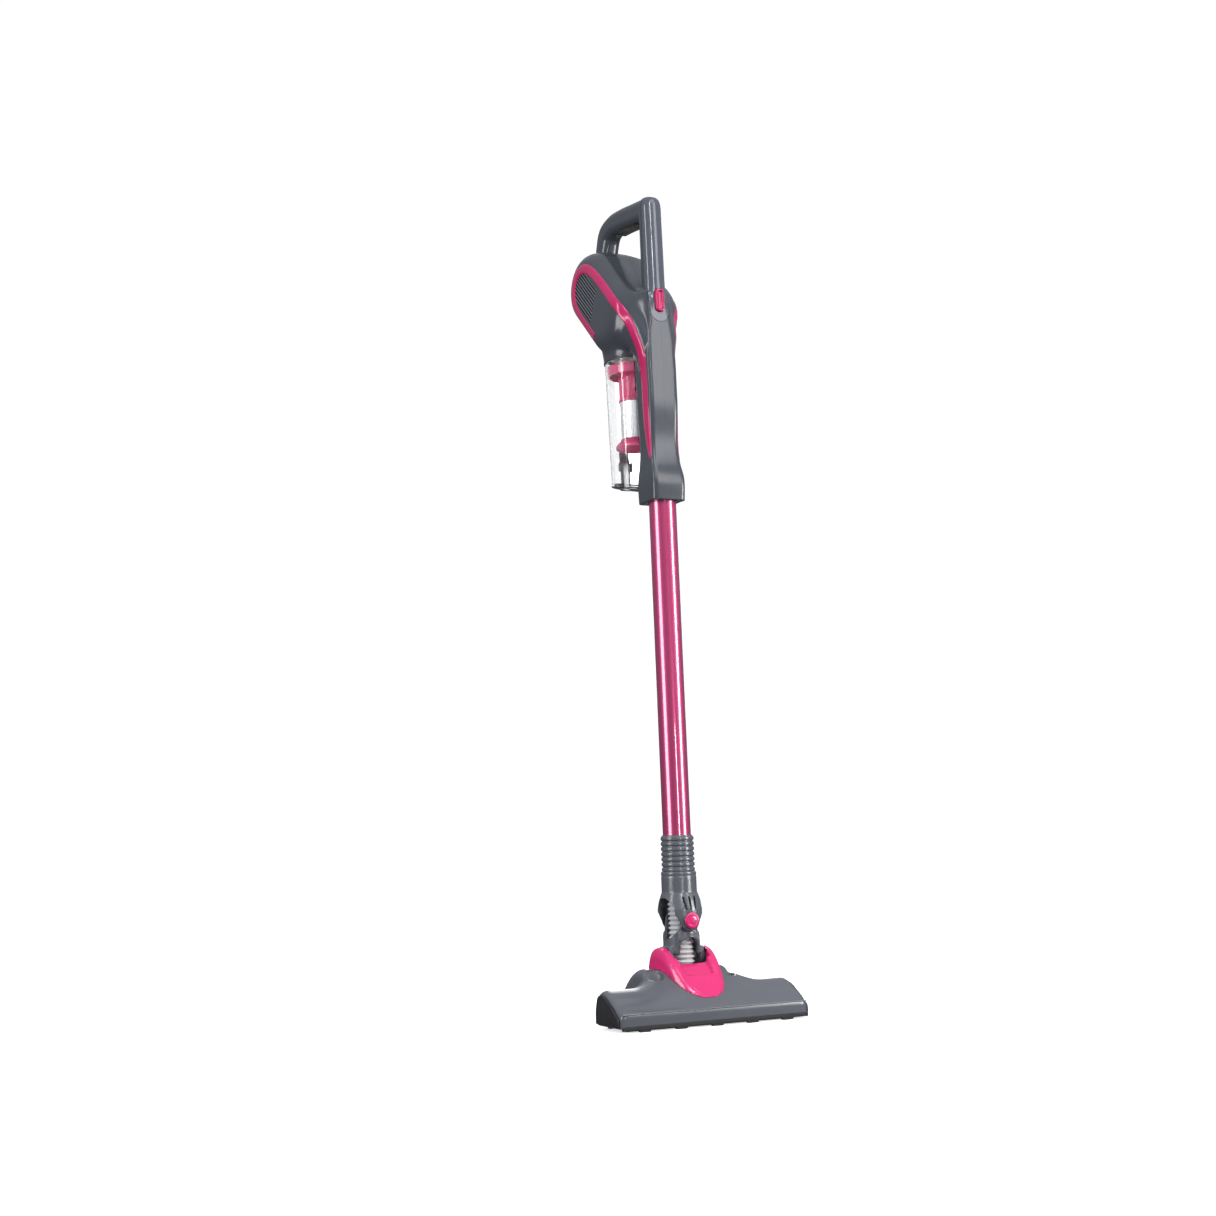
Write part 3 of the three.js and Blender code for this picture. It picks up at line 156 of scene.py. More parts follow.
def turn(steps):
    """Cosine and sine at even steps round a full turn."""
    angles = [2 * math.pi * i / steps for i in range(steps)]
    return [(math.cos(angle), math.sin(angle)) for angle in angles]


def arc(radius, steps, at=(0, 0), rise=None, start=0):
    """Half an ellipse about a point, start half turns after its right end."""
    rise = radius if rise is None else rise
    angles = [math.pi * (start + k / steps) for k in range(steps + 1)]
    return [(at[0] + radius * math.cos(angle), at[1] + rise * math.sin(angle)) for angle in angles]


# ---- meshes
def put(target, **settings):
    for name, value in settings.items():
        setattr(target, name, value)
    return target


def link(name, data):
    obj = bpy.data.objects.new(name, data)
    bpy.context.scene.collection.objects.link(obj)
    return obj


def tidy_mesh(mesh, sharp=38.0):
    """Weld corners, point the faces outward, and keep only the real edges sharp."""
    work = bmesh.new()
    work.from_mesh(mesh)
    bmesh.ops.remove_doubles(work, verts=work.verts, dist=2e-6)
    bmesh.ops.dissolve_degenerate(work, edges=work.edges, dist=1e-6)
    bmesh.ops.recalc_face_normals(work, faces=work.faces)
    limit = math.radians(sharp)
    for face in work.faces:
        face.smooth = True
    for edge in work.edges:
        edge.smooth = not (len(edge.link_faces) == 2 and edge.calc_face_angle(0.0) > limit)
    work.to_mesh(mesh)
    work.free()


def build(name, verts, faces, lift=0.0, sharp=38.0):
    mesh = bpy.data.meshes.new(name)
    mesh.from_pydata([(x * MM, y * MM, (z + lift) * MM) for x, y, z in verts], [], faces)
    tidy_mesh(mesh, sharp)
    return link(name, mesh)


def loft(name, loops, lift=0.0, closed=False, sharp=38.0):
    """Skin through loops that all have the same number of corners. Open rows get end faces."""
    count = len(loops[0])
    faces = []
    for i in range(len(loops) if closed else len(loops) - 1):
        k = (i + 1) % len(loops)
        for j in range(count):
            m = (j + 1) % count
            faces.append((i * count + j, i * count + m, k * count + m, k * count + j))
    if not closed:
        faces.append(tuple(range(count)))
        faces.append(tuple((len(loops) - 1) * count + j for j in range(count)))
    return build(name, [p for loop in loops for p in loop], faces, lift, sharp)


def lathe(name, profile, at=(0, 0, 0), axis="z", steps=96, lift=0.0, sharp=38.0):
    """Closed profile of (radius, height) corners, turned about an axis through a point."""
    place = {
        "z": lambda r, h, c, s: (at[0] + r * c, at[1] + r * s, at[2] + h),
        "x": lambda r, h, c, s: (at[0] + h, at[1] + r * c, at[2] + r * s),
        "y": lambda r, h, c, s: (at[0] + r * c, at[1] + h, at[2] + r * s),
    }[axis]
    loops = [[place(max(r, 0), h, c, s) for r, h in profile] for c, s in turn(steps)]
    return loft(name, loops, lift, closed=True, sharp=sharp)


def rod(name, radius, low, high, at=(0, 0, 0), axis="z", steps=96, lift=0.0):
    """Plain round bar between two heights along an axis through a point."""
    return lathe(name, rectangle(0, radius, low, high), at, axis, steps, lift)


def prism(name, outline, axis, start, end, lift=0.0):
    """Flat outline drawn out along an axis. x: (y, z) corners, y: (x, z), z: (x, y)."""
    place = {
        "x": lambda u, v, h: (h, u, v),
        "y": lambda u, v, h: (u, h, v),
        "z": lambda u, v, h: (u, v, h),
    }[axis]
    return loft(name, [[place(u, v, h) for u, v in outline] for h in (start, end)], lift)


def slab(name, outline, side, near, far, lift=0.0, axis="x"):
    """Prism between two distances from the middle plane, on one side of it."""
    return prism(name, outline, axis, *sorted((side * near, side * far)), lift)


def brick(name, x0, x1, y0, y1, z0, z1, lift=0.0):
    return prism(name, rectangle(x0, x1, y0, y1), "z", z0, z1, lift)


def applied(obj):
    """The object with its modifiers made real."""
    graph = bpy.context.evaluated_depsgraph_get()
    mesh = bpy.data.meshes.new_from_object(obj.evaluated_get(graph))
    obj.modifiers.clear()
    old = obj.data
    obj.data = mesh
    bpy.data.meshes.remove(old)
    return obj


def joined(name, parts):
    """One object that holds the meshes of several."""
    work = bmesh.new()
    for part in parts:
        work.from_mesh(part.data)
    mesh = bpy.data.meshes.new(name)
    work.to_mesh(mesh)
    work.free()
    for part in parts:
        bpy.data.objects.remove(part)
    return link(name, mesh)


def fused(name, parts, voxel, rounds):
    """One skin round several closed forms, with its corners softened."""
    obj = joined(name, parts)
    put(obj.modifiers.new("skin", "REMESH"), mode="VOXEL", voxel_size=voxel * MM)
    put(obj.modifiers.new("soft", "SMOOTH"), factor=0.5, iterations=rounds)
    return applied(obj)


def melted(obj, centres):
    """Soften the surface round some points, in millimetres, fading out with the distance."""
    radius, rounds = 24, 300
    group = obj.vertex_groups.new(name="melt")
    places = [Vector(centre) * MM for centre in centres]
    for vertex in obj.data.vertices:
        near = min((vertex.co - place).length for place in places) / MM
        weight = smoothstep(radius - near, 0, radius * 0.7)
        if weight > 0:
            group.add([vertex.index], weight, "REPLACE")
    put(obj.modifiers.new("melt", "SMOOTH"), factor=0.6, iterations=rounds, vertex_group="melt")
    return applied(obj)


def carve(obj, cutters, keep=False, operation="DIFFERENCE"):
    """Solid sum with each cutter in turn."""
    for cutter in cutters:
        put(obj.modifiers.new("cut", "BOOLEAN"), operation=operation, solver="MANIFOLD", object=cutter)
        bpy.context.view_layer.update()
        applied(obj)
        if not keep:
            bpy.data.objects.remove(cutter)
    tidy_mesh(obj.data)
    return obj


def copy_of(obj, name):
    return link(name, obj.data.copy())


def wear(obj, body, finish, slot=None, *stands_for):
    """Dress a piece: its material, its body and the CAD nodes it stands for. The slot is not used."""
    obj.data.materials.clear()
    obj.data.materials.append(FINISH[finish])
    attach(obj, body)
    if stands_for:
        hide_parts(*stands_for)
    return obj


# ---- materials
CLOUD = (0.3, 0.7)          # part of the noise that the clouds of colour are spread over
GRAIN_DEPTH = 0.0004


def node(owner, kind, inputs, **settings):
    """Shader node whose inputs are linked to sockets or set to values."""
    new = put(owner.node_tree.nodes.new("ShaderNode" + kind), **settings)
    for name, value in inputs.items():
        feed(owner, new, name, value)
    return new.outputs


def feed(owner, target, name, value):
    """Link one input of a node to a socket, or set it to a value."""
    if isinstance(value, bpy.types.NodeSocket):
        owner.node_tree.links.new(value, target.inputs[name])
    else:
        target.inputs[name].default_value = value


def ramp(owner, factor, low, high):
    """Colour between two ends, each a position and a colour."""
    color = node(owner, "ValToRGB", {"Fac": factor})["Color"]
    for end, (position, tone) in zip(color.node.color_ramp.elements, (low, high)):
        end.position = position
        end.color = (*tone, 1)
    return color


def relief(mat, height, strength, distance):
    bump = node(mat, "Bump", {"Height": height, "Strength": strength, "Distance": distance})
    feed(mat, mat.node_tree.nodes["Principled BSDF"], "Normal", bump["Normal"])


def surface(name, dark, light, rough, patch=25.0, grain=1500.0, bump=0.05, stretch=(1, 1, 1), **constants):
    """Moulded material: cloudy colour and roughness, and a fine grain."""
    mat = bpy.data.materials.new(name)
    mat.use_nodes = True
    shader = mat.node_tree.nodes["Principled BSDF"]
    place = node(mat, "TexCoord", {})["Object"]
    place = node(mat, "Mapping", {"Vector": place, "Scale": stretch})["Vector"]
    cloud = node(mat, "TexNoise", {"Vector": place, "Scale": patch, "Detail": 5})["Fac"]
    low, high = CLOUD
    feed(mat, shader, "Base Color", ramp(mat, cloud, (low, dark), (high, light)))
    gloss = {"Value": cloud, "From Min": low, "From Max": high, "To Min": rough[0], "To Max": rough[1]}
    feed(mat, shader, "Roughness", node(mat, "MapRange", gloss)["Result"])
    fine = node(mat, "TexNoise", {"Vector": place, "Scale": grain, "Detail": 2})["Fac"]
    relief(mat, fine, bump, GRAIN_DEPTH)
    for socket, value in constants.items():
        feed(mat, shader, socket.replace("_", " "), value)
    return mat


def retoned(mat, blend, factor, first, second):
    """Mix two colours into the shader's own; a colour left as None is the one it has now."""
    shader = mat.node_tree.nodes["Principled BSDF"]
    now = shader.inputs["Base Color"].links[0].from_socket
    colours = {"Factor": factor, "A": first or now, "B": second or now}
    mix = node(mat, "Mix", colours, data_type="RGBA", blend_type=blend)
    feed(mat, shader, "Base Color", mix["Result"])
    return mat


def glass_with_painted_rim(mat):
    """Clear wall with painted shade: darker where it is seen edge on."""
    edge = node(mat, "LayerWeight", {"Blend": 0.5})["Facing"]
    shade = ramp(mat, edge, (0.72, (1, 1, 1)), (1.0, (0.10, 0.11, 0.12)))
    return retoned(mat, "MULTIPLY", 1.0, None, shade)


def perforated(mat, pitch):
    """Rows of small holes over a round sieve, as height and painted shade."""
    place = node(mat, "TexCoord", {})["Object"]
    holes = node(mat, "TexVoronoi", {"Vector": place, "Scale": 1 / pitch, "Randomness": 0.0})["Distance"]
    depth = node(mat, "MapRange", {"Value": holes, "From Min": 0.22, "From Max": 0.4})["Result"]
    relief(mat, depth, 0.4, 0.0003)
    # Dark grey in the holes: painted shade.
    return retoned(mat, "MIX", depth, (0.16, 0.16, 0.17, 1), None)


FINISH = {
    # The casing's grey plastic. The three entries after it are lighter copies of the same grey: painted
    # light.
    "slate": surface("slate_plastic", (0.053, 0.059, 0.072), (0.058, 0.064, 0.078), (0.18, 0.21), bump=0.02,
                     Specular_IOR_Level=0.5),
    # Lighter copy of the casing's grey, for the column's cover: painted light.
    "slate_gloss_painted_lighter": surface("slate_gloss_painted_lighter", (0.080, 0.090, 0.114), (0.086, 0.096, 0.122), (0.13, 0.15),
                           bump=0.01, Specular_IOR_Level=0.55),
    # Lighter copy of the casing's grey, for the neck and the floor head: painted light.
    "slate_painted_lighter": surface("slate_painted_lighter", (0.100, 0.106, 0.123), (0.106, 0.113, 0.131), (0.2, 0.23), bump=0.02,
                          Specular_IOR_Level=0.6),
    # Lighter copy of the casing's grey with a coat, for the grille's ribs and the lip's bead: painted
    # highlights.
    "slate_painted_highlight": surface("slate_painted_highlight", (0.105, 0.112, 0.128), (0.12, 0.128, 0.145), (0.26, 0.32),
                           Specular_IOR_Level=0.6, Coat_Weight=0.25, Coat_Roughness=0.12),
    "slate_deep": surface("slate_deep", (0.030, 0.033, 0.039), (0.038, 0.042, 0.049), (0.36, 0.44), bump=0.1),
    "trim": surface("trim_plastic", (0.035, 0.038, 0.044), (0.048, 0.052, 0.060), (0.34, 0.42), bump=0.12),
    "rubber": surface("black_rubber", (0.010, 0.010, 0.011), (0.016, 0.016, 0.017), (0.55, 0.68), bump=0.3),
    # Light grey hose, made lighter still to make up for its shade inside the fork: partly its own colour,
    # partly painted light.
    "hose": surface("hose_rubber", (0.52, 0.525, 0.535), (0.60, 0.605, 0.615), (0.16, 0.22)),
    "pink": surface("pink_gloss", (0.49, 0.009, 0.105), (0.52, 0.012, 0.118), (0.22, 0.26), bump=0.02,
                    Coat_Weight=0.3, Coat_Roughness=0.08),
    "cover": surface("pink_bright", (0.65, 0.016, 0.150), (0.69, 0.020, 0.165), (0.22, 0.26), bump=0.02,
                     Coat_Weight=0.3, Coat_Roughness=0.1),
    "wand": surface("wand_metal", (0.48, 0.042, 0.150), (0.50, 0.046, 0.160), (0.32, 0.35), patch=20.0,
                    bump=0.015, stretch=(1, 1, 0.05), Metallic=0.5, Coat_Weight=1.0, Coat_Roughness=0.06,
                    Coat_IOR=1.75),
    "clear": glass_with_painted_rim(surface("clear_cup", (0.935, 0.94, 0.945), (0.955, 0.96, 0.965), (0.03, 0.05), bump=0.0,
                            Transmission_Weight=1.0, IOR=1.42)),
    "sieve": perforated(surface("mesh_steel", (0.70, 0.71, 0.73), (0.80, 0.81, 0.83), (0.24, 0.32),
                                Metallic=0.9), 0.0016),
    "steel": surface("steel", (0.55, 0.56, 0.58), (0.66, 0.67, 0.69), (0.22, 0.32), Metallic=1.0),
    "lid": surface("lid_metal", (0.10, 0.105, 0.115), (0.15, 0.155, 0.165), (0.16, 0.22), Metallic=0.7),
    "copper": surface("copper_winding", (0.60, 0.28, 0.12), (0.74, 0.38, 0.18), (0.3, 0.4), stretch=(1, 1, 9),
                      Metallic=1.0),
    "wrap": surface("cell_wrap", (0.02, 0.12, 0.28), (0.03, 0.15, 0.34), (0.3, 0.4), Coat_Weight=0.3),
    "board": surface("board_green", (0.008, 0.10, 0.045), (0.014, 0.15, 0.065), (0.4, 0.5), patch=180.0),
    "bristle": surface("bristle", (0.018, 0.018, 0.020), (0.045, 0.045, 0.05), (0.5, 0.7), patch=400.0,
                       stretch=(4, 1, 1), bump=0.5),
    "paper": surface("filter_paper", (0.78, 0.78, 0.74), (0.88, 0.88, 0.85), (0.85, 0.95), grain=700.0,
                     bump=0.4),
}

# CAD nodes whose own shape is shown, by what they are made of: finish and slot.
CARRIED = {
    ("steel", "steel"): "brush_motor neck_pin_left neck_pin_right wheel_axle_left wheel_axle_right motor_cap "
                        "rotor fan bearing_lower bearing_upper lid_pin",
    ("rubber", "black_rubber"): "lint_strip_front lint_strip_rear charge_socket cup_seal motor_mount "
                                "lid_seal",
    ("trim", "trim_grey"): "power_switch battery_tray suction_duct motor_housing",
    ("wrap", "cell_wrap"): "battery_cell_1 battery_cell_2 battery_cell_3 battery_cell_4",
    ("slate_deep", "trim_grey"): "base_plate",
    ("bristle", "brush"): "brush_roll",
    ("board", "board"): "circuit_board",
    ("paper", "filter_paper"): "fine_filter",
    ("copper", "copper"): "stator",
}


def dress_carried():
    for (finish, slot), names in CARRIED.items():
        for name in names.split():
            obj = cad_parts[name]
            obj.data.materials.clear()
            obj.data.materials.append(FINISH[finish])


# ---- handheld unit (heights above BASE)
CAPSULE_TOP = (116.6, 323.5)        # centre of the capsule's upper end: y, z
CAPSULE_LENGTH = 83.0
CAPSULE_PROFILE = [(50.0, 1), (50.0, 20), (49.4, 30.5), (47.3, 38), (42, 44.3), (32, 49.6), (16, 52.2),
                   (0, 52.6)]
CUP_FRONT = 25.6
CUP_TOP = 205.0
CUP_AXIS = CUP_FRONT + 39.0
COLLAR_RADIUS = 40.2
BUTTON_LOW = 255.0
BUTTON_HIGH = 286.0
BUTTON_HALF = 6.5
COVER_HALF = 14.2
BAND = 14.0                         # usual width of the trim band
GRILLE_REACH = 22.5                 # half width of the field of slots
# height, front, back and half width of the casing's upright parts
SPINE = [(0, -23.6, 24.8, 23.8), (34, -23.6, 24.8, 23.8), (47.5, -19.6, 22.8, 22.5), (140, -19, 22.6, 22),
         (205, -18, 23.5, 21.4), (240, -17.2, 22, 18), (268, -16, 14, 14.4), (284, -15, 8, 12)]
COLUMN = [(250, -16, 13.9, 15), (328, -15, 13.9, 15), (404, -13.6, 13.9, 15)]
# y, z, half width and half thickness along the shoulder and the handle bar
SHOULDER = [(60, 268, 46, 44), (36, 250, 42, 36), (12, 226, 34, 26), (3, 200, 26, 22),
            (1.8, 170, 22.5, 20.8), (1.8, 140, 22, 20.8)]
BAR = [(0, 401, 14.5, 15.5), (35, 406, 14, 15.6), (73, 411, 14, 15.6), (97, 412.6, 14, 15),
       (120, 405, 14, 15.6), (129, 387, 14, 15), (136, 362, 14.5, 14.5), (140, 335, 15, 14.5)]
# height, y and half width of the cheeks' front corner, then of their rear corner
WEB = [(186, -17, 19, 186, 4, 22), (210, -17, 18.4, 208, 10, 27.5), (236, -16.4, 16.4, 232, 20, 37),
       (258, -15.6, 15, 256, 29, 46), (272, -14, 14.6, 278, 36, 49.2), (283, -12, 14.4, 300, 49, 49.4)]
# x, y and height of the joints between these forms that are melted together
JOINTS = [(49, 50, 304), (49, 38, 284), (47, 30, 262), (40, 22, 240), (29, 11, 216), (36, 18, 286),
          (34, 11, 264), (29, 6, 242), (44, 46, 240), (42, 42, 222), (44, 62, 226), (23, 16, 292)]


def on_capsule(along, across):
    """(y, z) down the capsule's slope from its upper centre, and out to its rear side."""
    return (CAPSULE_TOP[0] + DOWN * (along - across), CAPSULE_TOP[1] + DOWN * (along + across))


def stadium(radius):
    """Outline of the capsule seen from the side."""
    steps = 16
    upper = arc(radius, steps, on_capsule(0, 0), start=-0.25)
    return upper + arc(radius, steps, on_capsule(CAPSULE_LENGTH, 0), start=0.75)


def capsule(name, inset):
    """Motor's long round housing, rounded over towards both sides."""
    rows = [(x - inset, max(1.0, r - inset)) for x, r in along_path(CAPSULE_PROFILE, 28)]
    rows = [(-x, r) for x, r in rows] + rows[-2::-1]
    return loft(name, [[(x, y, z) for y, z in stadium(r)] for x, r in rows], BASE)


def sweep(name, rows, radius, count, inset):
    """Round-cornered sections along a path of (y, z, half width, half thickness) rows."""
    line = along_path(rows, count)
    loops = []
    for i, (y, z, half_x, half) in enumerate(line):
        before, after = line[max(0, i - 1)], line[min(count, i + 1)]
        step = Vector((after[0] - before[0], after[1] - before[1])).normalized()
        section = rounded_box(inset - half_x, half_x - inset, inset - half, half - inset, radius - inset)
        loops.append([(u, y - v * step.y, z + v * step.x) for u, v in section])
    return loft(name, loops, BASE)


def tower(name, rows, radius, inset, count, top=(), crown=0.0):
    """Upright casing from rows of (z, front, back, half width), with drawn-in rows on top."""
    loops = []
    for z, front, back, half in [*eased(rows, count), *top]:
        section = rounded_box(inset - half, half - inset, front + inset, back - inset, radius - inset, 8)
        middle = (front + back) / 2
        loops.append([(x, y + crown * (x / half) ** 2 * (y < middle), z) for x, y in section])
    return loft(name, loops, BASE)


def web(inset):
    """Cheeks that swing out from the column's sides to the capsule's."""
    flat_above = 275
    loops = []
    for z0, y0, x0, z1, y1, x1 in eased(WEB, 30):
        sunk = inset * (z0 > flat_above)
        half = []
        for k in range(17):
            share = k / 16
            reach = 0.45 * share + 0.55 * smoothstep(share, 0, 1)
            half.append((x0 + (x1 - x0) * reach - inset, y0 + (y1 - y0) * share + inset * (1 - share),
                         z0 + (z1 - z0) * share - sunk))
        half.append((x1 - inset - 2, y1 + 14, z1 - sunk))
        loops.append(half + [(-x, y, z) for x, y, z in half[::-1]])
    return loft("web", loops, BASE)


def body_form(name, inset, voxel, rounds):
    """Whole casing of the handheld unit, drawn in by an inset."""
    z, front, back, half = COLUMN[-1]
    crown = [(z + rise - inset, front + inward, back - inward, half - inward)
             for rise, inward in ((5, 0.5), (9, 1.9), (11.5, 4), (13, 7))]
    low, high = 190, 268
    swell = along_path([(40.3, 211), (41.8, 222), (44.6, 237), (47.4, 252), (48.6, high)], 12)
    edge = [(COLLAR_RADIUS, low), (COLLAR_RADIUS, 209), *swell]
    collar = [(0, low), *[(r - inset, z) for r, z in edge], (0, high)]
    parts = [
        capsule("capsule", inset),
        carve(sweep("shoulder", SHOULDER, 19, 24, inset),
              [brick("front", -60, 60, -60, inset - 15, 100, 330, BASE)]),
        sweep("bar", BAR, 10, 44, inset),
        web(inset),
        tower("spine", SPINE, 5.5, inset, 90, crown=1.5),
        tower("column", COLUMN, 13.4, inset, 40, crown),
        lathe("collar", collar, (0, CUP_AXIS, 0), lift=BASE),
    ]
    joints = [(side * x, y, z + BASE) for side in (-1, 1) for x, y, z in JOINTS]
    return melted(fused(name, parts, voxel, rounds), joints)


def cover_space(name, clearance):
    """Room of the column's front cover: the whole column above, a round tongue below the button."""
    half = COVER_HALF + clearance
    low = BUTTON_LOW + 1
    step = BUTTON_HIGH + 6 - clearance
    outline = [(30, 430), (-30, 430), (-30, step), (-half, step), *arc(half, 24, (0, low), 14 + clearance, 1),
               (half, step), (30, step)]
    return prism(name, outline, "y", -40, -3 + clearance, BASE)


def button_space(name, clearance):
    """Room of the power button in the column."""
    half = BUTTON_HALF + clearance
    outline = rounded_box(-half, half, BUTTON_LOW - clearance, BUTTON_HIGH + clearance, 5 + clearance)
    return prism(name, outline, "y", -40, -9, BASE)


def grille_outline(reach):
    """Field of slots: round towards the upper end, cut off on a slant lower down."""
    count = 18
    outline = []
    for k in range(count + 1):
        across = reach * math.cos(math.pi * k / count)
        outline.append(on_capsule(-math.sqrt(max(0.0, reach ** 2 - across ** 2)) + 1, across))
    outline += [on_capsule(44, -reach), on_capsule(58, reach)]
    return outline


def grille_recess(side):
    """Room cut into one side of the capsule for the grille."""
    return prism("recess", grille_outline(GRILLE_REACH), "x", side * 46.6, side * 60, BASE)


def body_shells():
    """Both halves of the casing, the column's cover, and the skin that the trim lies on."""
    outer = body_form("body", 0.0, 1.1, 6)
    skin = BVHTree.FromObject(outer, bpy.context.evaluated_depsgraph_get())
    inner = body_form("hollow", WALL, 1.8, 3)
    carve(inner, [brick("floor", -60, 60, -60, 60, -10, 44, BASE)])
    cover = copy_of(outer, "column_cover_face")
    carve(cover, [cover_space("room", 0.0)], operation="INTERSECT")
    carve(cover, [button_space("hole", 0.5)])
    tools = [
        brick("cup_room", -60, 60, CUP_FRONT - 0.6, 120, -10, CUP_TOP + 2.5, BASE),
        rod("collar_bore", 37.7, 190, 237.5, (0, CUP_AXIS, 0), lift=BASE),
        rod("wand_bore", 18.3, -5, 40, lift=BASE),
        rod("duct_bore", 12.7, 30, 50, lift=BASE),
        rod("inlet", 14.8, 20, 34, (0, 0, 178), "y", lift=BASE),
        cover_space("cover_room", 0.6),
        button_space("button_room", 1.0),
        *[grille_recess(side) for side, _ in SIDES],
        rod("socket_hole", 5.1, 14, 60, (0, 9, 150), "x", lift=BASE),
    ]
    carve(outer, [inner, *tools])
    for side, name in SIDES:
        half = copy_of(outer, f"body_casing_{name}")
        near, far = sorted((side * 0.04, side * 80))
        carve(half, [brick("half", near, far, -80, 200, -20, 460, BASE)], operation="INTERSECT")
        wear(half, "handheld", "slate", "shell_grey", f"body_shell_{name}")
    bpy.data.objects.remove(outer)
    # The cover wears a lighter grey than the casing's: painted light.
    wear(cover, "handheld", "slate_gloss_painted_lighter", "shell_grey", "column_cover")
    return skin


def band_line():
    """Middle of the trim band in the YZ plane, from its lower rear end, and the band's width there."""
    count = 40
    middle = 33.5
    rows = [(*on_capsule(80 * (1 - k / count), middle), BAND) for k in range(count)]
    rows += [(y, z, BAND) for y, z in arc(middle, count, CAPSULE_TOP, start=-0.25)[:-1]]
    front = [(*on_capsule(along, -middle), BAND) for along in (0, 40, 66)]
    front += [(*on_capsule(87, -32.7), BAND), (14.5, 263, BAND), (2.4, 239.5, BAND), (-3.6, 216, 15),
              (-5, 189, 16.5), (-4.8, 140, 17), (-5.6, 100, 15.5), (-7.4, 76, 12), (-11.5, 56, 2)]
    return rows + [tuple(row) for row in along_path(front, 3 * count)]


def on_skin(skin, side, y, z):
    """Where the casing's side is met at (y, z), and its outward direction."""
    hit, normal, _, _ = skin.ray_cast(Vector((side * 0.2, y * MM, (z + BASE) * MM)), Vector((-side, 0, 0)))
    if hit is None:
        return None
    if normal.x * side < 0:
        normal.negate()
    return Vector(hit) / MM, normal


def nearest(skin, spot, outward):
    """Closest place on the casing, in millimetres, and its direction away from the inside."""
    place, out, _, _ = skin.find_nearest(spot * MM)
    return Vector(place) / MM, out if out.dot(outward) > 0 else -out


def faired(skin, path):
    """Path on the casing with each point drawn to the mean of its neighbours."""
    reach = 9
    smooth = []
    for i, (_, normal, width) in enumerate(path):
        span = min(reach, i, len(path) - 1 - i)
        near = path[i - span:i + span + 1]
        mean = sum((row[0] for row in near), Vector()) / len(near)
        smooth.append((*nearest(skin, mean, normal), width))
    return smooth


def trim_band(skin, side, name):
    """Crowned band laid along the casing, with its edges rolled into it."""
    across = 10
    proud, rolled, depth = 0.75, 1.1, 1.3
    path = []
    for y, z, width in band_line():
        found = on_skin(skin, side, y, z)
        if found is not None:
            path.append((*found, width))
    for _ in range(3):
        path = faired(skin, path)
    loops = []
    for i, (centre, _, width) in enumerate(path):
        near = path[max(0, i - 4):i + 5]
        normal = sum((row[1] for row in near), Vector()).normalized()
        along = path[min(i + 2, len(path) - 1)][0] - path[max(i - 2, 0)][0]
        sideways = normal.cross(along).normalized()
        top, under = [], []
        for k in range(across + 1):
            share = k / across
            place, out = nearest(skin, centre + sideways * width * (share - 0.5), normal)
            top.append(place + out * (proud - rolled * abs(2 * share - 1) ** 7))
            under.append(place - out * depth)
        loops.append([tuple(p) for p in top + under[::-1]])
    band = loft(f"trim_ribbon_{name}", loops, sharp=50)
    wear(band, "handheld", "pink", "pink_gloss", f"trim_band_{name}")


def grille(side, name):
    """Ribs between long slots darkened with painted shade, flush with the capsule and drawn in at their ends.
    """
    count = 10
    pitch = 2 * GRILLE_REACH / count
    root, crest, shoulder = 46.4, 49.9, 48
    # Black sheet under the ribs: painted shade in the slots.
    bed = prism(f"grille_bed_{name}", grille_outline(22.2), "x", side * 45.8, side * 46.9, BASE)
    wear(bed, "handheld", "rubber", "black_rubber")
    parts = []
    for i in range(count):
        off = (i - (count - 1) / 2) * pitch
        rise = math.sqrt(GRILLE_REACH ** 2 - off * off)
        fall = 51 + 14 * off / (2 * GRILLE_REACH)
        half = pitch * 0.22
        section = rounded_box(off - half, off + half, root, crest, 0.9, 3)
        loops = []
        for along, drop in ((1.2 - rise, 1), (2.2 - rise, 0), (fall - 1.2, 0), (fall - 0.2, 1)):
            loops.append([(side * (x - drop * (x > shoulder)), *on_capsule(along, v)) for v, x in section])
        parts.append(loft("rib", loops, BASE))
    ribs = joined(f"grille_ribs_{name}", parts)
    # Ribs in a lighter grey than the casing's: painted highlights.
    wear(ribs, "handheld", "slate_painted_highlight", "trim_grey", f"grille_{name}")


def power_button():
    """Rounded button with a raised rim round a hollow."""
    loops = []
    steps = [(0, -13.0), (0, -18.4), (0.35, -19.0), (0.9, -19.45), (1.5, -19.6), (2.1, -19.45), (2.7, -18.9),
             (3.2, -18.0), (3.9, -17.3), (4.9, -17.0), (5.8, -16.9)]
    for inset, y in steps:
        section = rounded_box(inset - BUTTON_HALF, BUTTON_HALF - inset,
                              BUTTON_LOW + inset, BUTTON_HIGH - inset, 5.5 - inset, 6)
        loops.append([(x, y, z) for x, z in section])
    wear(loft("power_key", loops, BASE, sharp=60), "power_button", "pink", "pink_gloss", "power_button")


def grip_pad():
    """Ribbed soft pad under the handle bar."""
    under = [[y, z - half] for y, z, _, half in BAR[:4]]
    parts = []
    for i in range(18):
        y = 25.5 + 3.8 * i
        z = hermite(under, y)[1]
        slope = math.atan2(hermite(under, y + 1)[1] - z, 1)
        c, s = math.cos(slope), math.sin(slope)
        section = fillet([(-1.3, 1.2), (-1.3, -1.0, 0.8), (1.3, -1.0, 0.8), (1.3, 1.2)], 0.1)
        turned = [(y + u * c - v * s, z + u * s + v * c) for u, v in section]
        parts.append(loft("rib", [[(x, *p) for p in turned] for x in (-10.2, -9.6, 9.6, 10.2)], BASE))
    loops = []
    for i in range(20):
        y = 24.5 + 67 * i / 19
        z = hermite(under, y)[1]
        loops.append([(u, y, z + v) for u, v in rounded_box(-10.5, 10.5, -0.35, 1.6, 0.5, 2)])
    parts.append(loft("bed", loops, BASE))
    wear(joined("grip_ribs", parts), "handheld", "rubber", "trim_grey", "grip_pad")


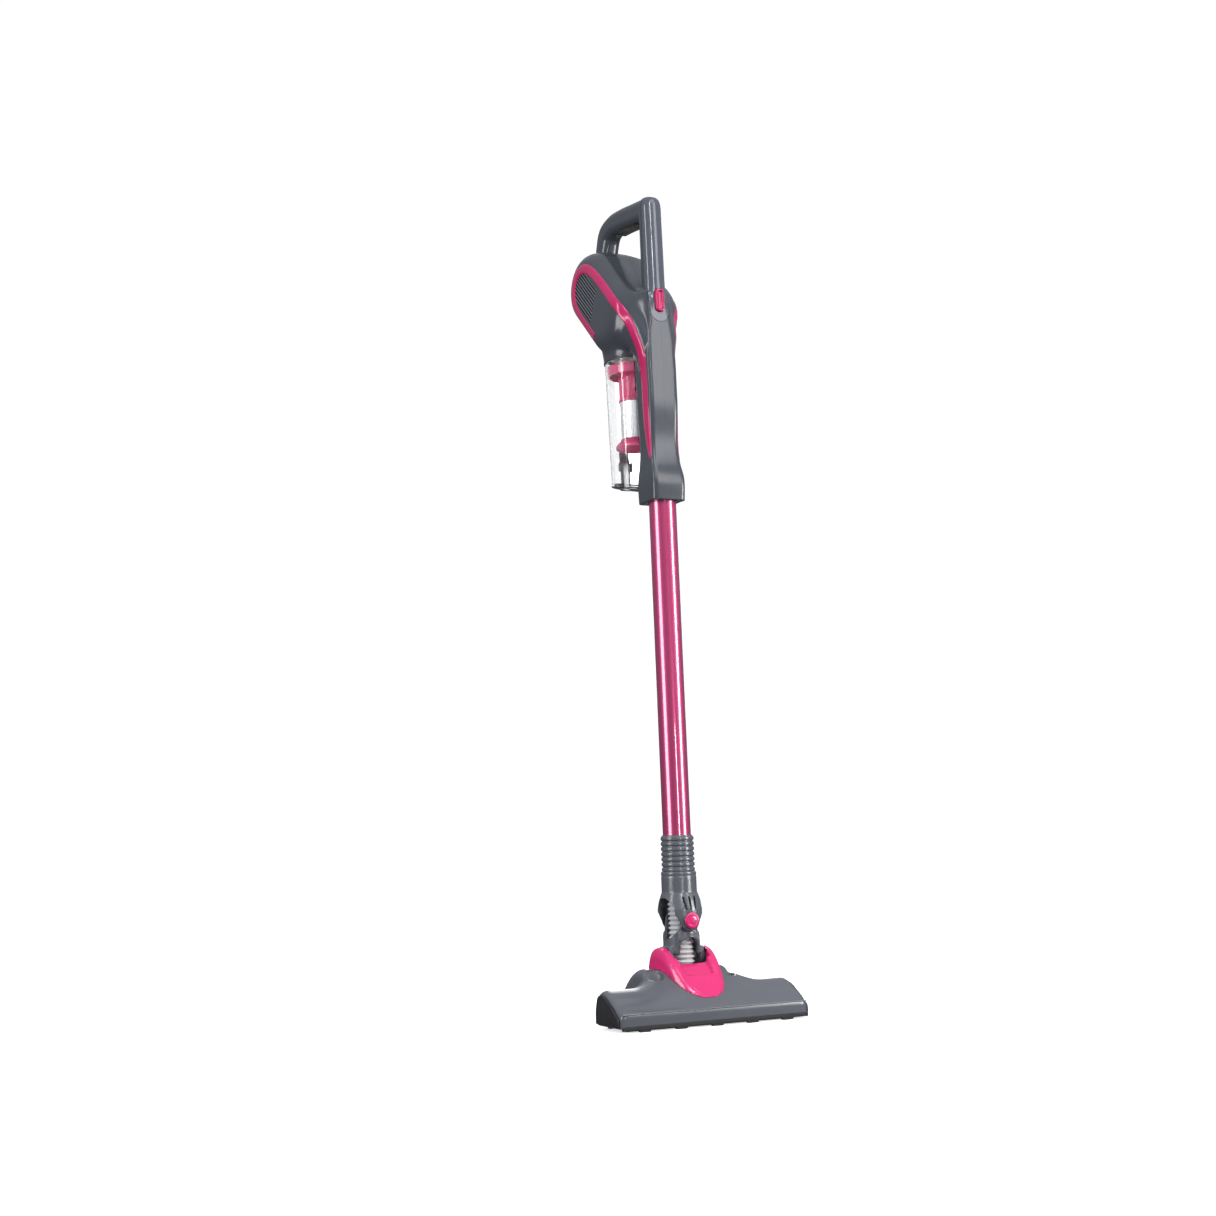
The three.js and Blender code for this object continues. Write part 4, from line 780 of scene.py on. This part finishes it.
def collar_ring():
    """Dark gasket line where the cup meets the collar."""
    r = COLLAR_RADIUS
    profile = fillet(rectangle(r - 3, r + 0.25, 204.9, 207.2), 0.5)
    ring = lathe("collar_gasket", profile, (0, CUP_AXIS, 0), lift=BASE)
    carve(ring, [brick("front", -30, 30, 10, CUP_FRONT + 0.4, 180, 230, BASE)])
    wear(ring, "handheld", "trim", "trim_grey")


# ---- dust cup
def cup_radius(z):
    return 36.5 + 2.5 * (z - 8) / (CUP_TOP - 8)


def rim_height(y):
    """Height of the cup's slanted lower rim."""
    return 22 + (45 - 22) / 78 * (y - CUP_FRONT)


def dust_cup():
    """Clear tapered cup with a thicker upper band, cut out round the inlet and the lid's hinge."""
    levels = 8
    wall = 2.2
    loops = []
    for c, s in turn(128):
        low = rim_height(CUP_AXIS + 37 * s)
        heights = [low + (CUP_TOP - low) * k / levels for k in range(1, levels)]
        ring = []
        for inset, z in [(0.0, CUP_TOP - 0.4), (0.35, CUP_TOP), (1.9, CUP_TOP), (wall, CUP_TOP - 0.5),
                         *[(wall, z) for z in heights[::-1]], (wall, low + 0.4), (1.8, low),
                         (0.4, low), (0.0, low + 0.5), *[(0.0, z) for z in heights]]:
            r = cup_radius(z)
            ring.append(((r - inset) * c, CUP_FRONT + r + (r - inset) * s, z))
        loops.append(ring)
    cup = loft("clear_bin", loops, BASE, closed=True)
    carve(cup, [brick("notch", -16.5, 16.5, 10, 45, 157, 210, BASE),
                brick("hinge_room", -7.5, 7.5, 10, CUP_FRONT + 5.5, -10, 34, BASE)])
    wear(cup, "dust_cup", "clear", "clear_cup", "dust_cup")


def cup_fittings():
    """Pin ears at the front and latch ears at the back, in grey."""
    front = fillet([(25.7, 17.2), (31, 17.2), (31, 33), (25.7, 35)], 1.4)
    back = fillet([(99.8, 61), (105.7, 64), (105.7, 72), (100.3, 77)], 1.8)
    parts = []
    for side, _ in SIDES:
        parts.append(slab("ear", front, side, 7.6, 11.4, BASE))
        parts.append(slab("ear", back, side, 7.8, 10.4, BASE))
    wear(joined("cup_ears", parts), "dust_cup", "trim", "trim_grey")


def cyclone():
    """Pink ring at the top of the cup, with the tube that carries the sieve."""
    at = (0, CUP_AXIS, 0)
    plate = fillet([(20, 199), (20, 196.4), (33.6, 196.4), (33.6, 186.5), (35.6, 186.5), (35.6, 199)], 0.6)
    tube = fillet([(19.6, 192), (19.6, 150.4), (22.6, 150.4), (22.6, 154.5, 1.2), (21.6, 156, 1.2),
                   (21.6, 197), (19.6, 197)], 0.5)
    whole = lathe("plate", plate, at, lift=BASE)
    carve(whole, [lathe("tube", tube, at, lift=BASE)], operation="UNION")
    inlet = prism("inlet", fillet(rectangle(-13, 13, 164, 191), 5), "y", 31.5, 52, BASE)
    bore = prism("bore", fillet(rectangle(-11, 11, 166, 189), 4), "y", 20, 60, BASE)
    carve(inlet, [bore])
    carve(inlet, [rod("room", 21.8, 150, 200, at, lift=BASE)])
    wear(joined("cyclone_body", [whole, inlet]), "handheld", "pink", "pink_gloss", "cyclone")


def sieve():
    """Drum of fine mesh below the cyclone, and the pink skirt under it."""
    at = (0, CUP_AXIS, 0)
    drum = [(19.5, 99.2), (21.4, 99.2), (21.4, 101.5), (21.0, 102), (21.0, 147), (21.4, 147.6), (21.4, 149.8),
            (19.5, 149.8)]
    wear(lathe("sieve_drum", drum, at, lift=BASE), "handheld", "sieve", "mesh_steel", "mesh_filter")
    skirt = fillet([(17.5, 98.8), (21.6, 98.8), (24.4, 95.5), (28.6, 89.5), (28.6, 86.2), (27.0, 86.2),
                    (26.8, 88.6), (20, 96.5), (17.5, 96.5)], 0.8)
    wear(lathe("skirt_cone", skirt, at, lift=BASE), "handheld", "pink", "pink_gloss", "cyclone_skirt")


def cup_lid():
    """Slanted lid: a rounded rim round a shallow dome, and the knuckle it turns on."""
    radius = 37.1
    middle = CUP_FRONT + radius + 0.4
    profile = [(0.0, -0.3), (0.93, -0.3), (0.985, -0.6), (1.0, -1.1), (1.0, -3.0), (0.985, -3.6),
               (0.95, -3.95), (0.89, -3.95), (0.86, -3.6), (0.84, -2.9), (0.6, -3.2), (0.3, -3.45),
               (0.0, -3.55)]
    loops = []
    for c, s in turn(96):
        ring = []
        for share, depth in profile:
            y = middle + radius * share * s
            ring.append((radius * share * c, y, rim_height(y) + depth))
        loops.append(ring)
    lid = loft("lid_plate", loops, BASE, closed=True)
    y, z = CUP_FRONT + 2.6, 19.8
    carve(lid, [brick("front", -60, 60, 0, y + 1.5, -20, 60, BASE),
                brick("ear_room", -12.2, -7.3, 20, 33.4, 10, 30, BASE),
                brick("ear_room", 7.3, 12.2, 20, 33.4, 10, 30, BASE)])
    knuckle = lathe("knuckle", fillet(rectangle(0, 2.5, -7.1, 7.1), 0.5), (0, y, z), "x", 32, BASE)
    arm = fillet([(y, 18.3), (y + 7, 19.6), (y + 7, 22.2), (y, 21.1)], 0.5)
    arm = prism("arm", arm, "x", -6.9, 6.9, BASE)
    wear(joined("lid_face", [lid, knuckle, arm]), "cup_lid", "lid", "trim_grey", "cup_lid")


def lid_latch():
    """Sprung lever at the back of the cup, hooked under the lid."""
    y, z = 103.4, 68
    outline = fillet([(y - 2, z - 24), (y - 2, z + 4), (y + 3.2, z + 23, 1.2), (y + 5.8, z + 22, 1.2),
                      (y + 2.2, z + 2, 6), (y + 1.6, z - 20), (y + 1.2, z - 31.8, 1.2),
                      (y - 6.2, z - 31.8, 0.8), (y - 6.2, z - 29.4, 0.8), (y - 2, z - 29.4, 1)], 1.5)
    lever = prism("lever", outline, "x", -7.3, 7.3, BASE)
    bead = fillet(rectangle(0, 0.9, -5.6, 5.6), 0.4)
    ribs = []
    for k in range(5):
        rise = 3.1 * k
        place = (0, y + 3.1 + 0.148 * (rise + 5), z + 7 + rise)
        ribs.append(lathe("rib", bead, place, "x", 12, BASE))
    soften(lever, 0.6)
    wear(joined("latch_lever", [lever, *ribs]), "lid_latch", "trim", "trim_grey", "lid_latch")


def thinned(points, gap):
    """The same outline with points at least a gap apart."""
    kept = [points[0]]
    for point in points[1:]:
        if math.dist(point, kept[-1]) >= gap:
            kept.append(point)
    return kept


def soften(obj, width):
    """Round the real edges of a plain form."""
    put(obj.modifiers.new("edge", "BEVEL"), width=width * MM, segments=3, limit_method="ANGLE",
        angle_limit=math.radians(50), use_clamp_overlap=True)
    applied(obj)
    tidy_mesh(obj.data, 60)


# ---- wand and neck (heights above HINGE)
STEER_RISE = STEER - HINGE
RING_LOW = STEER_RISE + 34
RING_TOP = STEER_RISE + 61
CUFF_TOP = STEER_RISE + 107
PIN_HOLE = 4.3
PIN_STEPS = 32


def wand():
    """Round tube, cut into short lengths so that its long faces shade evenly."""
    low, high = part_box("wand")
    bottom, top = low.z / MM, high.z / MM
    profile = fillet(rectangle(16.5, 18, bottom, top), 0.6)
    rows = []
    for (r0, z0), (r1, z1) in zip(profile, profile[1:] + profile[:1]):
        pieces = 24 if abs(z1 - z0) > 100 else 1
        rows += [(r0 + (r1 - r0) * k / pieces, z0 + (z1 - z0) * k / pieces) for k in range(pieces)]
    wear(lathe("wand_tube", rows, steps=128), "wand", "wand", "wand_metal", "wand")


def cuff():
    """Socket for the wand with seven soft ribs."""
    shoulder = RING_TOP + 0.3
    pitch = (CUFF_TOP - shoulder) / 7
    stop = CUFF_TOP - 40.3
    corners = [(15.3, stop), (15.3, RING_LOW + 7, 0), (19.3, RING_LOW + 7, 0), (19.3, shoulder, 0)]
    for k in range(7):
        z = shoulder + k * pitch
        corners += [(21.2, z + 0.05, 0.7), (21.2, z + pitch * 0.62, 1.3), (19.7, z + pitch * 0.74, 0.6),
                    (19.7, z + pitch * 0.97, 0.6)]
    corners[-1] = (19.7, CUFF_TOP, 0.6)
    corners += [(18.3, CUFF_TOP, 0.4), (18.3, stop)]
    # Lighter grey than the casing's: painted light.
    wear(lathe("cuff_sleeve", fillet(corners, 0.3), lift=HINGE), "fork", "slate_painted_lighter", "trim_grey", "cuff")


def fork():
    """Collar and the two arms round the hose, with an arched window on each side."""
    rise, ring, top = STEER_RISE, RING_LOW, RING_TOP
    outer = [(0, rise - 13), (27.5, rise - 13), (29.4, rise + 2, 20), (29.4, rise + 14, 12),
             (26.2, rise + 25, 12), (23.4, ring - 1, 5), (22.5, ring + 1, 1.5), (22.5, top - 6.5, 1),
             (21.9, top - 6, 0.4), (21.9, top - 5, 0.4), (22.5, top - 4.5, 1), (22.5, top, 1.2), (0, top)]
    inner = [(0, rise - 20), (26.3, rise - 20), (26.3, rise + 13, 10), (22.3, rise + 22, 8), (17, ring),
             (17, ring + 6), (0, ring + 6)]
    body = lathe("fork", fillet(outer, 0), lift=HINGE)
    arch = [(-21.5, rise - 40), (19, rise - 40), *arc(20.25, 20, (-1.25, rise + 9), 19)]
    egg = [(0, -13.8), (7, -12.0), (12, -6.8), (14.6, 0), (18.5, 6), (23.6, 12), (31, 20)]
    egg = [(x, rise + z) for x, z in along_path(egg, 20)]
    far = [(60, egg[-1][1]), (60, rise - 40)]
    below = [*far, *[(-x, z) for x, z in far[::-1]], *[(-x, z) for x, z in egg[:0:-1]], *egg]
    below = prism("below", below, "y", -60, 60, HINGE)
    hub = (0, 0, rise)
    carve(body, [
        lathe("inside", fillet(inner, 0), lift=HINGE),
        rod("socket", 19.6, ring + 6, top + 5, lift=HINGE),
        prism("window", arch, "x", -60, 60, HINGE),
        below,
        rod("ear_room", 17.2, -22, 22, hub, "y", lift=HINGE),
    ])
    body = fused("fork", [body], 0.75, 3)
    slots = []
    for x in (-7, 0, 7):
        lean = 0.06 * x
        slot = rounded_box(x - 1.5, x + 1.5, rise + 13, rise + 30, 1.4)
        slot = [(u + lean * (v - rise - 21) * 0.3, v) for u, v in slot]
        slots.append(prism("slot", slot, "y", -60, -18, HINGE))
    slots.append(rod("pin_hole", PIN_HOLE, -60, 60, hub, "y", PIN_STEPS, HINGE))
    carve(body, slots)
    # Lighter grey than the casing's: painted light.
    wear(body, "fork", "slate_painted_lighter", "shell_grey", "fork")


def pivot_caps():
    """Domed caps over the tipping hinge's pin, front and rear."""
    steps = [(0, 17.3), (4, 17.3), (4, 29.8), (10, 29.8), (10, 31.2, 0.8), (8.8, 32.3, 1.2), (6.4, 32.4, 0.6),
             (6.0, 32.1, 0.4), (4, 32.5, 6), (0, 32.7)]
    for side, name in ((-1, "front"), (1, "rear")):
        profile = fillet([(step[0], side * step[1], *step[2:]) for step in steps], 0)
        cap = lathe(f"pivot_dome_{name}", profile, (0, 0, STEER_RISE), "y", 64, HINGE)
        # The caps wear the head cover's brighter pink instead of their own pink: painted light.
        wear(cap, "fork", "cover", "pink_gloss", f"pivot_cap_{name}")


def yoke():
    """Tube with an arched window front and back, and the ears and lugs of its two hinges."""
    top = STEER_RISE - 13
    tube = fillet([(18.5, 4), (23.4, 4), (23.4, top - 1.5, 2.5), (22, top, 1), (18.5, top)], 0)
    parts = [lathe("yoke", tube, lift=HINGE)]
    ear = [(-14, top - 12), (14, top - 12), *arc(11, 16, (0, STEER_RISE))]
    lug = [(13, 12), (-13, 12), *arc(13, 16, start=1)]
    for side, _ in SIDES:
        parts.append(slab("ear", ear, side, 17.2, 21.7, HINGE, "y"))
        parts.append(slab("lug", lug, side, 19.5, 25, HINGE))
    body = fused("yoke", parts, 0.8, 2)
    steps = 20
    window = arc(13, steps, (0, 12), 12)
    saddle = [(17.4, top + 40), (-17.4, top + 40), *arc(17.4, steps, (0, top + 3), -14)[::-1]]
    carve(body, [
        prism("window", [(-13, -30), (13, -30), *window], "y", -40, 40, HINGE),
        prism("saddle", saddle, "x", -60, 60, HINGE),
        rod("bore", 18.5, -30, 100, lift=HINGE),
        rod("steer", PIN_HOLE, -40, 40, (0, 0, STEER_RISE), "y", PIN_STEPS, HINGE),
        rod("lean", PIN_HOLE, -40, 40, (0, 0, 0), "x", PIN_STEPS, HINGE),
    ])
    rim = []
    for k, (x, z) in enumerate(window):
        y = -math.sqrt(23.5 ** 2 - x * x)
        out = Vector((x, y, 0)).normalized()
        away = Vector((math.cos(math.pi * k / steps), 0, math.sin(math.pi * k / steps)))
        rim.append([tuple(Vector((x, y, z)) + away * (0.9 + 1.1 * c) + out * (0.7 * s - 0.2))
                    for c, s in turn(8)])
    body = joined("yoke_body", [body, loft("rim", rim, HINGE)])
    # Lighter grey than the casing's: painted light.
    wear(body, "yoke", "slate_painted_lighter", "shell_grey", "yoke")


def corrugated(name, low, high, ribs):
    """Length of corrugated hose round the neck's axis, between two heights above the hinge."""
    pitch = (high - low) / ribs
    outer = []
    for i in range(ribs * 10 + 1):
        z = low + (high - low) * i / (ribs * 10)
        wave = 0.5 - 0.5 * math.cos(2 * math.pi * (z - low) / pitch)
        outer.append((12.9 + 3.0 * wave ** 0.6, z))
    bore = [(r - 1.6, z) for r, z in outer[::-2]]
    tube = lathe(name, outer + bore, steps=64, lift=HINGE, sharp=80)
    tube.data.materials.append(FINISH["hose"])
    return tube


def hose():
    """Hose through yoke and fork, and a short length below it as its foot; both are straight."""
    joint = 2.0
    upper = corrugated("neck_hose", joint, RING_LOW + 6.7, 14)
    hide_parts("lower_hose", "upper_hose")
    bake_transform(upper)
    foot = corrugated("neck_hose_foot", joint - 18, joint, 3)
    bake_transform(foot)


# ---- floor head (heights above the floor)
HEAD_HALF = 131.0
HEAD_FRONT = -83.0
LIP = 21.0
SKIRT = 5.0
WHEEL_X, WHEEL_Y, WHEEL_RADIUS = 48.0, 42.0, 15.0


def head_section(x, inset):
    """Side outline of the head at a distance from the middle, front edge first."""
    near_end = max(0.0, 1 - (HEAD_HALF - abs(x)) / 9)
    inset = inset + 4.5 * (1 - math.sqrt(max(0.0, 1 - near_end ** 2)))
    middle = smoothstep(92 - abs(x), 0, 62)
    crest_z, crest_y = 47 + 19 * middle, -33 + 28 * middle
    crease_z, crease_y = 38 + 16 * middle, -54 + 16 * middle
    rear = -13 + 40 * middle - inset
    front = HEAD_FRONT + inset
    bottom = SKIRT - 3
    lip = [(front, LIP - 4), (front + 0.2, LIP - 1.6), (front + 0.9, LIP)]
    slope = [(front + 2.2, LIP + 1.6), (front + 6, LIP + 3.4),
             ((front + crease_y) / 2, (LIP + crease_z) / 2 + 0.6), (crease_y, crease_z)]
    back = [(crease_y, crease_z), ((crease_y + crest_y) / 2, (crease_z + 2.2 * crest_z) / 3.2),
            (crest_y, crest_z), ((crest_y + rear) / 2, crest_z - 2.6), (rear - 3, crest_z - 12),
            (rear, crest_z - 24)]
    lip, slope, back = ([(y, z - inset) for y, z in line] for line in (lip, slope, back))
    return [(front, bottom), *lip, *along_path(slope, 14), *along_path(back, 34)[1:],
            (rear, (crest_z - 24 + bottom) / 2 - inset / 2), (rear, bottom)]


def wheel_pod(side, inset):
    """Rounded housing over one rear wheel, cut off in front by a slanting face."""
    rows = [(-26, 62, 0.86), (-6, 65.5, 0.94), (10, 66, 1), (26, 60, 1), (44, 45.5, 0.98), (60.6, 24, 0.92)]
    rear = rows[-1][0] - inset
    half = 14.5 - inset
    middle = side * WHEEL_X
    loops = []
    for y, top, share in eased(rows, 44):
        wide = half * share
        arch = [(middle - wide, SKIRT - 3)]
        for k in range(15):
            angle = math.pi * (1 - k / 14)
            c, s = math.cos(angle), math.sin(angle)
            arch.append((middle + wide * math.copysign(abs(c) ** 0.72, c),
                         top - inset - 13 + 13 * abs(s) ** 0.8))
        arch.append((middle + wide, SKIRT - 3))
        loops.append([(x, min(y, rear), z) for x, z in arch])
    pod = loft("pod", loops)
    face = [(-90, -10), (-30, -10), (-21.5 + inset, 38), (-3 + inset, 66), (-3 + inset, 120), (-90, 120)]
    return carve(pod, [prism("face", face, "x", middle - 40, middle + 40)])


def head_form(name, inset, voxel, rounds):
    """Floor head with its two wheel pods as one skin, drawn in by an inset."""
    end = HEAD_HALF - inset
    half = [2.4 * k for k in range(51)] + [end - t for t in (8, 6, 4.4, 3, 1.9, 1.0, 0.4, 0)]
    loops = []
    for x in [-x for x in half[:0:-1]] + half:
        loops.append([(x, y, z) for y, z in head_section(x, inset)])
    parts = [loft("shell", loops), wheel_pod(-1, inset), wheel_pod(1, inset)]
    form = fused(name, parts, voxel, 0)
    carve(form, [scoop(-1, inset), scoop(1, inset)])
    return fused(name, [form], voxel, rounds)


def scoop(side, inset):
    """Slanting round facet cut into the front of a wheel pod and the crest before it."""
    slope = math.radians(55)
    out = Vector((0, -math.sin(slope), math.cos(slope)))
    across = Vector((0, math.cos(slope), math.sin(slope)))
    centre = Vector((side * (WHEEL_X + 3.5), -13.5, 56)) - out * inset
    loops = []
    for radius, along in ((9.6, 0), (10.6, 1.6), (13, 24)):
        reach = radius + inset
        loops.append([tuple(centre + out * along + across * (reach * 1.12 * s) + Vector((reach * c, 0, 0)))
                      for c, s in turn(40)])
    return loft("scoop", loops)


def neck_room(name, clearance):
    """Room in which the yoke leans back."""
    half, radius = 26 + clearance, 25 + clearance
    outline = [(-radius, HINGE + 60), *arc(radius, 24, (0, HINGE), start=1)[:13], (70, HINGE - radius),
               (70, HINGE + 60)]
    return prism(name, outline, "x", -half, half)


def cheek(side):
    """Bearing block of the lean-back hinge, beside the neck's room."""
    outline = [(-13, HINGE - 26), (13, HINGE - 26), *arc(12, 16, (0, HINGE - 2), 10)]
    return slab("cheek", outline, side, 26, 32)


def floor_head():
    """Hollow head, open below, with its bearing blocks and the room for the neck, and its bright cover."""
    outer = head_form("head", 0.0, 1.05, 2)
    solid = copy_of(outer, "head_solid")
    inner = head_form("hollow", WALL, 2.0, 2)
    under = brick("under", -200, 200, -200, 200, -40, SKIRT)
    carve(outer, [inner, under])
    carve(outer, [cheek(-1), cheek(1)], operation="UNION")
    carve(outer, [
        neck_room("neck", 0.0),
        rod("inlet", 15, 30, HINGE),
        rod("pin", PIN_HOLE, -60, 60, (0, 0, HINGE), "x", PIN_STEPS),
    ])
    # Lighter grey than the casing's: painted light.
    wear(outer, "floor_head", "slate_painted_lighter", "shell_grey", "head_shell")
    head_cover(solid)
    bpy.data.objects.remove(solid)


# y, half width, ridge height, valley height
COVER = [(-67, 11, 34, 34), (-64.5, 18, 37, 37), (-60, 25, 43, 43.2), (-55, 29.5, 48.6, 48.8),
         (-50, 32, 53.8, 53), (-45, 33.6, 59.8, 57.2), (-40, 35, 66.2, 60.2), (-28, 37, 79, 69.9),
         (-12, 38.5, 90, 76), (4, 39, 91.8, 80), (18, 38, 86, 80), (26, 36, 74, 70)]


def head_cover(head):
    """Bright cover: a horn on each side of the neck, a sunk plain panel between them, a round front lobe."""
    panel_half = 22.5
    loops = []
    for y, half, ridge, valley in eased(COVER, 93):
        flank = [(0, valley), (0.2, valley), (0.42, valley + 0.1 * (ridge - valley)),
                 (0.56, (ridge + valley) / 2), (0.68, ridge - 0.5), (0.76, ridge), (0.86, ridge - 1.4),
                 (0.94, ridge - 5.5), (0.985, ridge - 11), (1.0, ridge - 18), (1.0, 18)]
        sunk = smoothstep(y, -43, -41.6) * smoothstep(-17 - y, 0, 1.4)
        row = []
        for share, z in along_path(flank, 44):
            x = share * half
            row.append((x, z - smoothstep(panel_half - abs(x), 0, 1.2) * sunk))
        mirrored = [(-x, z) for x, z in row[:0:-1]]
        loops.append([(x, y, z) for x, z in mirrored + row])
    cover = loft("cover", loops)
    carve(cover, [head], keep=True)
    carve(cover, [
        brick("floor", -60, 60, -90, 90, 0, 33),
        brick("behind", -60, 60, -8, 90, 0, HINGE - 26),
        neck_room("neck", 0.4),
        *[brick("cheek_room", *sorted((side * 20, side * 32.4)), -13.5, 13.5, HINGE - 40, HINGE + 8.4)
          for side, _ in SIDES],
    ])
    cover = fused("hood", [cover], 0.75, 2)
    wear(cover, "floor_head", "cover", "pink_bright", "head_cover")


def bumpers():
    """Rubber edging under the lip with lugs, the end caps, and the bead along the lip in a lighter grey, a
    painted highlight line.
    """
    front = HEAD_FRONT - 1.5
    section = fillet([(front, 3), (front, 7.2), (front + 1.3, 7.8), (front + 1.3, 4), (front + 6, 4),
                      (front + 6, 2.4), (front + 1.5, 2.2)], 0.5)
    stations = [-129.4, -128.6, *[-128 + 8 * k for k in range(33)], 128.6, 129.4]
    parts = [loft("strip", [[(x, y, z) for y, z in section] for x in stations])]
    for x in range(-100, 101, 50):
        lug = fillet([(x - 7, 0.0, 1.4), (x - 8.5, 3.4), (x + 8.5, 3.4), (x + 7, 0.0, 1.4)], 0.3)
        parts.append(prism("lug", lug, "y", front + 0.5, front + 5.4))
    wear(joined("front_edging", parts), "floor_head", "rubber", "black_rubber", "front_bumper")
    edge = [point for point in head_section(HEAD_HALF - 20, 4.6) if point[1] > SKIRT + 4]
    edge = thinned([(edge[0][0], SKIRT + 1.5), *edge, (edge[-1][0], SKIRT + 1.5)], 2.5)
    for side, name in SIDES:
        cap = slab("cap", fillet(edge, 1.5), side, HEAD_HALF - 0.2, HEAD_HALF + 3.2)
        soften(cap, 1.5)
        wear(joined(f"end_cap_{name}", [cap]), "floor_head", "rubber", "black_rubber", f"end_bumper_{name}")
    ring = [(HEAD_FRONT + 0.7 + 0.75 * c, LIP + 0.3 + 0.75 * s) for c, s in turn(8)]
    bead = loft("lip_bead", [[(x, y, z) for y, z in ring] for x in stations[1:-1]])
    # The bead wears a lighter grey than the head: painted highlight along the lip.
    wear(bead, "floor_head", "slate_painted_highlight", "shell_grey")


def wheels():
    """Rubber tyres on hubs, with six small spokes in the groove of each face."""
    face = [(2.8, 6), (8.6, 6), (9.2, 4.6), (11, 4.6), (11.6, 6), (13.6, 6, 1.4), (14.9, 4.4, 2), (14.9, 1),
            (14.2, 0.6)]
    tyre = fillet([(r, -x, *radius) for r, x, *radius in face] + face[::-1], 0.3)
    for side, name in SIDES:
        x = side * WHEEL_X
        parts = [lathe(f"tyre_{name}", tyre, (x, WHEEL_Y, WHEEL_RADIUS), "x", 72)]
        for c, s in turn(6):
            a, b = Vector((c, s)), Vector((-s, c))
            corners = [a * 8.4 + b * 0.8, a * 12 + b * 0.8, a * 12 - b * 0.8, a * 8.4 - b * 0.8]
            outline = [(WHEEL_Y + corner.x, WHEEL_RADIUS + corner.y) for corner in corners]
            parts.append(prism("spoke", outline, "x", x - 5.6, x + 5.6))
        wheel = joined(f"wheel_tyre_{name}", parts)
        wear(wheel, f"wheel_{name}", "rubber", "black_rubber", f"wheel_{name}")


# ---- stage, light and camera
AIM = 0.6                           # height that the lights face, in metres


def turned_mesh(name, profile):
    """Open surface turned round the vertical axis, in metres."""
    steps = 96
    verts = [(r * c, r * s, z) for c, s in turn(steps) for r, z in profile]
    faces = []
    count = len(profile)
    for i in range(steps):
        k = (i + 1) % steps
        for j in range(count - 1):
            faces.append((i * count + j, k * count + j, k * count + j + 1, i * count + j + 1))
    mesh = bpy.data.meshes.new(name)
    mesh.from_pydata(verts, [], faces)
    tidy_mesh(mesh, 80)
    return link(name, mesh)


def stage():
    """Pale floor inside a white backdrop. The object mirrors neither: its studio is a darker room."""
    floor = turned_mesh("floor", [(0.0, 0.0), (1.2, 0.0), (3.4, 0.0)])
    wall = turned_mesh("backdrop", [*arc(3.0, 48, (3.4, 3.0), start=-0.5)[:25], (6.4, 6.0)])
    for obj, albedo, glow in ((floor, 0.80, 0.64), (wall, 0.30, 0.93)):
        white = surface(f"{obj.name}_white", (albedo,) * 3, (albedo + 0.02,) * 3, (0.8, 0.9), patch=0.6,
                        bump=0.0, Specular_IOR_Level=0.0, Emission_Color=(1, 1, 1, 1), Emission_Strength=glow)
        obj.data.materials.append(white)
        put(obj, visible_diffuse=False, visible_glossy=False)


def hung(name, data, place, rotation):
    """Lamp or camera at a place in the scene, in metres."""
    obj = link(name, data)
    return put(obj, location=place, rotation_mode="QUATERNION", rotation_quaternion=rotation)


def soft_box(name, azimuth, distance, height, width, tall, energy):
    """Area light that faces the object from an azimuth: 0 is the front and 90 the right."""
    light = bpy.data.lights.new(name, "AREA")
    put(light, shape="RECTANGLE", size=width, size_y=tall, energy=energy)
    angle = math.radians(azimuth)
    place = Vector((distance * math.sin(angle), -distance * math.cos(angle), height))
    obj = hung(name, light, place, (Vector((0, 0, AIM)) - place).to_track_quat("-Z", "Y"))
    obj.visible_camera = False


def studio_room():
    """Dim room round the softboxes, lighter overhead."""
    world = bpy.data.worlds.new("studio")
    world.use_nodes = True
    place = node(world, "TexCoord", {})["Generated"]
    height = node(world, "SeparateXYZ", {"Vector": place})["Z"]
    shade = ramp(world, height, (0.0, (0.10, 0.105, 0.115)), (1.0, (0.62, 0.64, 0.68)))
    middle = shade.node.color_ramp.elements.new(0.35)
    middle.color = (0.30, 0.31, 0.34, 1)
    feed(world, world.node_tree.nodes["Background"], "Color", shade)
    bpy.context.scene.world = world


# azimuth in degrees, distance, height, width and height of the lit face in metres, watts
SOFT_BOXES = {
    "key_box": (27, 2.2, 1.7, 0.45, 1.2, 9.5),
    "low_key_box": (43, 2.2, 0.62, 0.6, 1.1, 34),
    "left_box": (-80, 2.0, 1.6, 0.24, 0.9, 8),
    "low_left_box": (-84, 2.0, 0.62, 0.85, 1.0, 20),
    "strip_box": (-15, 2.0, 1.95, 0.16, 1.0, 17),
    "low_strip": (-6, 2.0, 0.32, 0.14, 0.34, 4.5),
    "high_box": (12, 1.7, 2.7, 1.4, 0.9, 12),
    "rim_box": (150, 2.2, 1.3, 0.5, 1.6, 10),
}


def lights():
    studio_room()
    for name, values in SOFT_BOXES.items():
        soft_box(name, *values)


def camera():
    data = put(bpy.data.cameras.new("camera"), sensor_width=36, lens=50.7, shift_x=0.056)
    yaw, pitch, roll = (math.radians(a) for a in (24.55, 7.49, -1.93))
    forward = Vector((math.sin(yaw) * math.cos(pitch), math.cos(yaw) * math.cos(pitch), math.sin(pitch)))
    right = Vector((math.cos(yaw), -math.sin(yaw), 0))
    up = right.cross(forward)
    side = right * math.cos(roll) + up * math.sin(roll)
    top = up * math.cos(roll) - right * math.sin(roll)
    turned = Matrix((side, top, -forward)).transposed().to_quaternion()
    bpy.context.scene.camera = hung("camera", data, (-1.071, -1.946, 0.240), turned)


dress_carried()
skin = body_shells()
for side, name in SIDES:
    trim_band(skin, side, name)
    grille(side, name)
for make in (power_button, grip_pad, collar_ring, dust_cup, cup_fittings, cyclone, sieve, cup_lid, lid_latch,
             wand, cuff, fork, pivot_caps, yoke, hose, floor_head, bumpers, wheels, stage, lights, camera):
    make()
bpy.context.scene.view_settings.view_transform = "Standard"
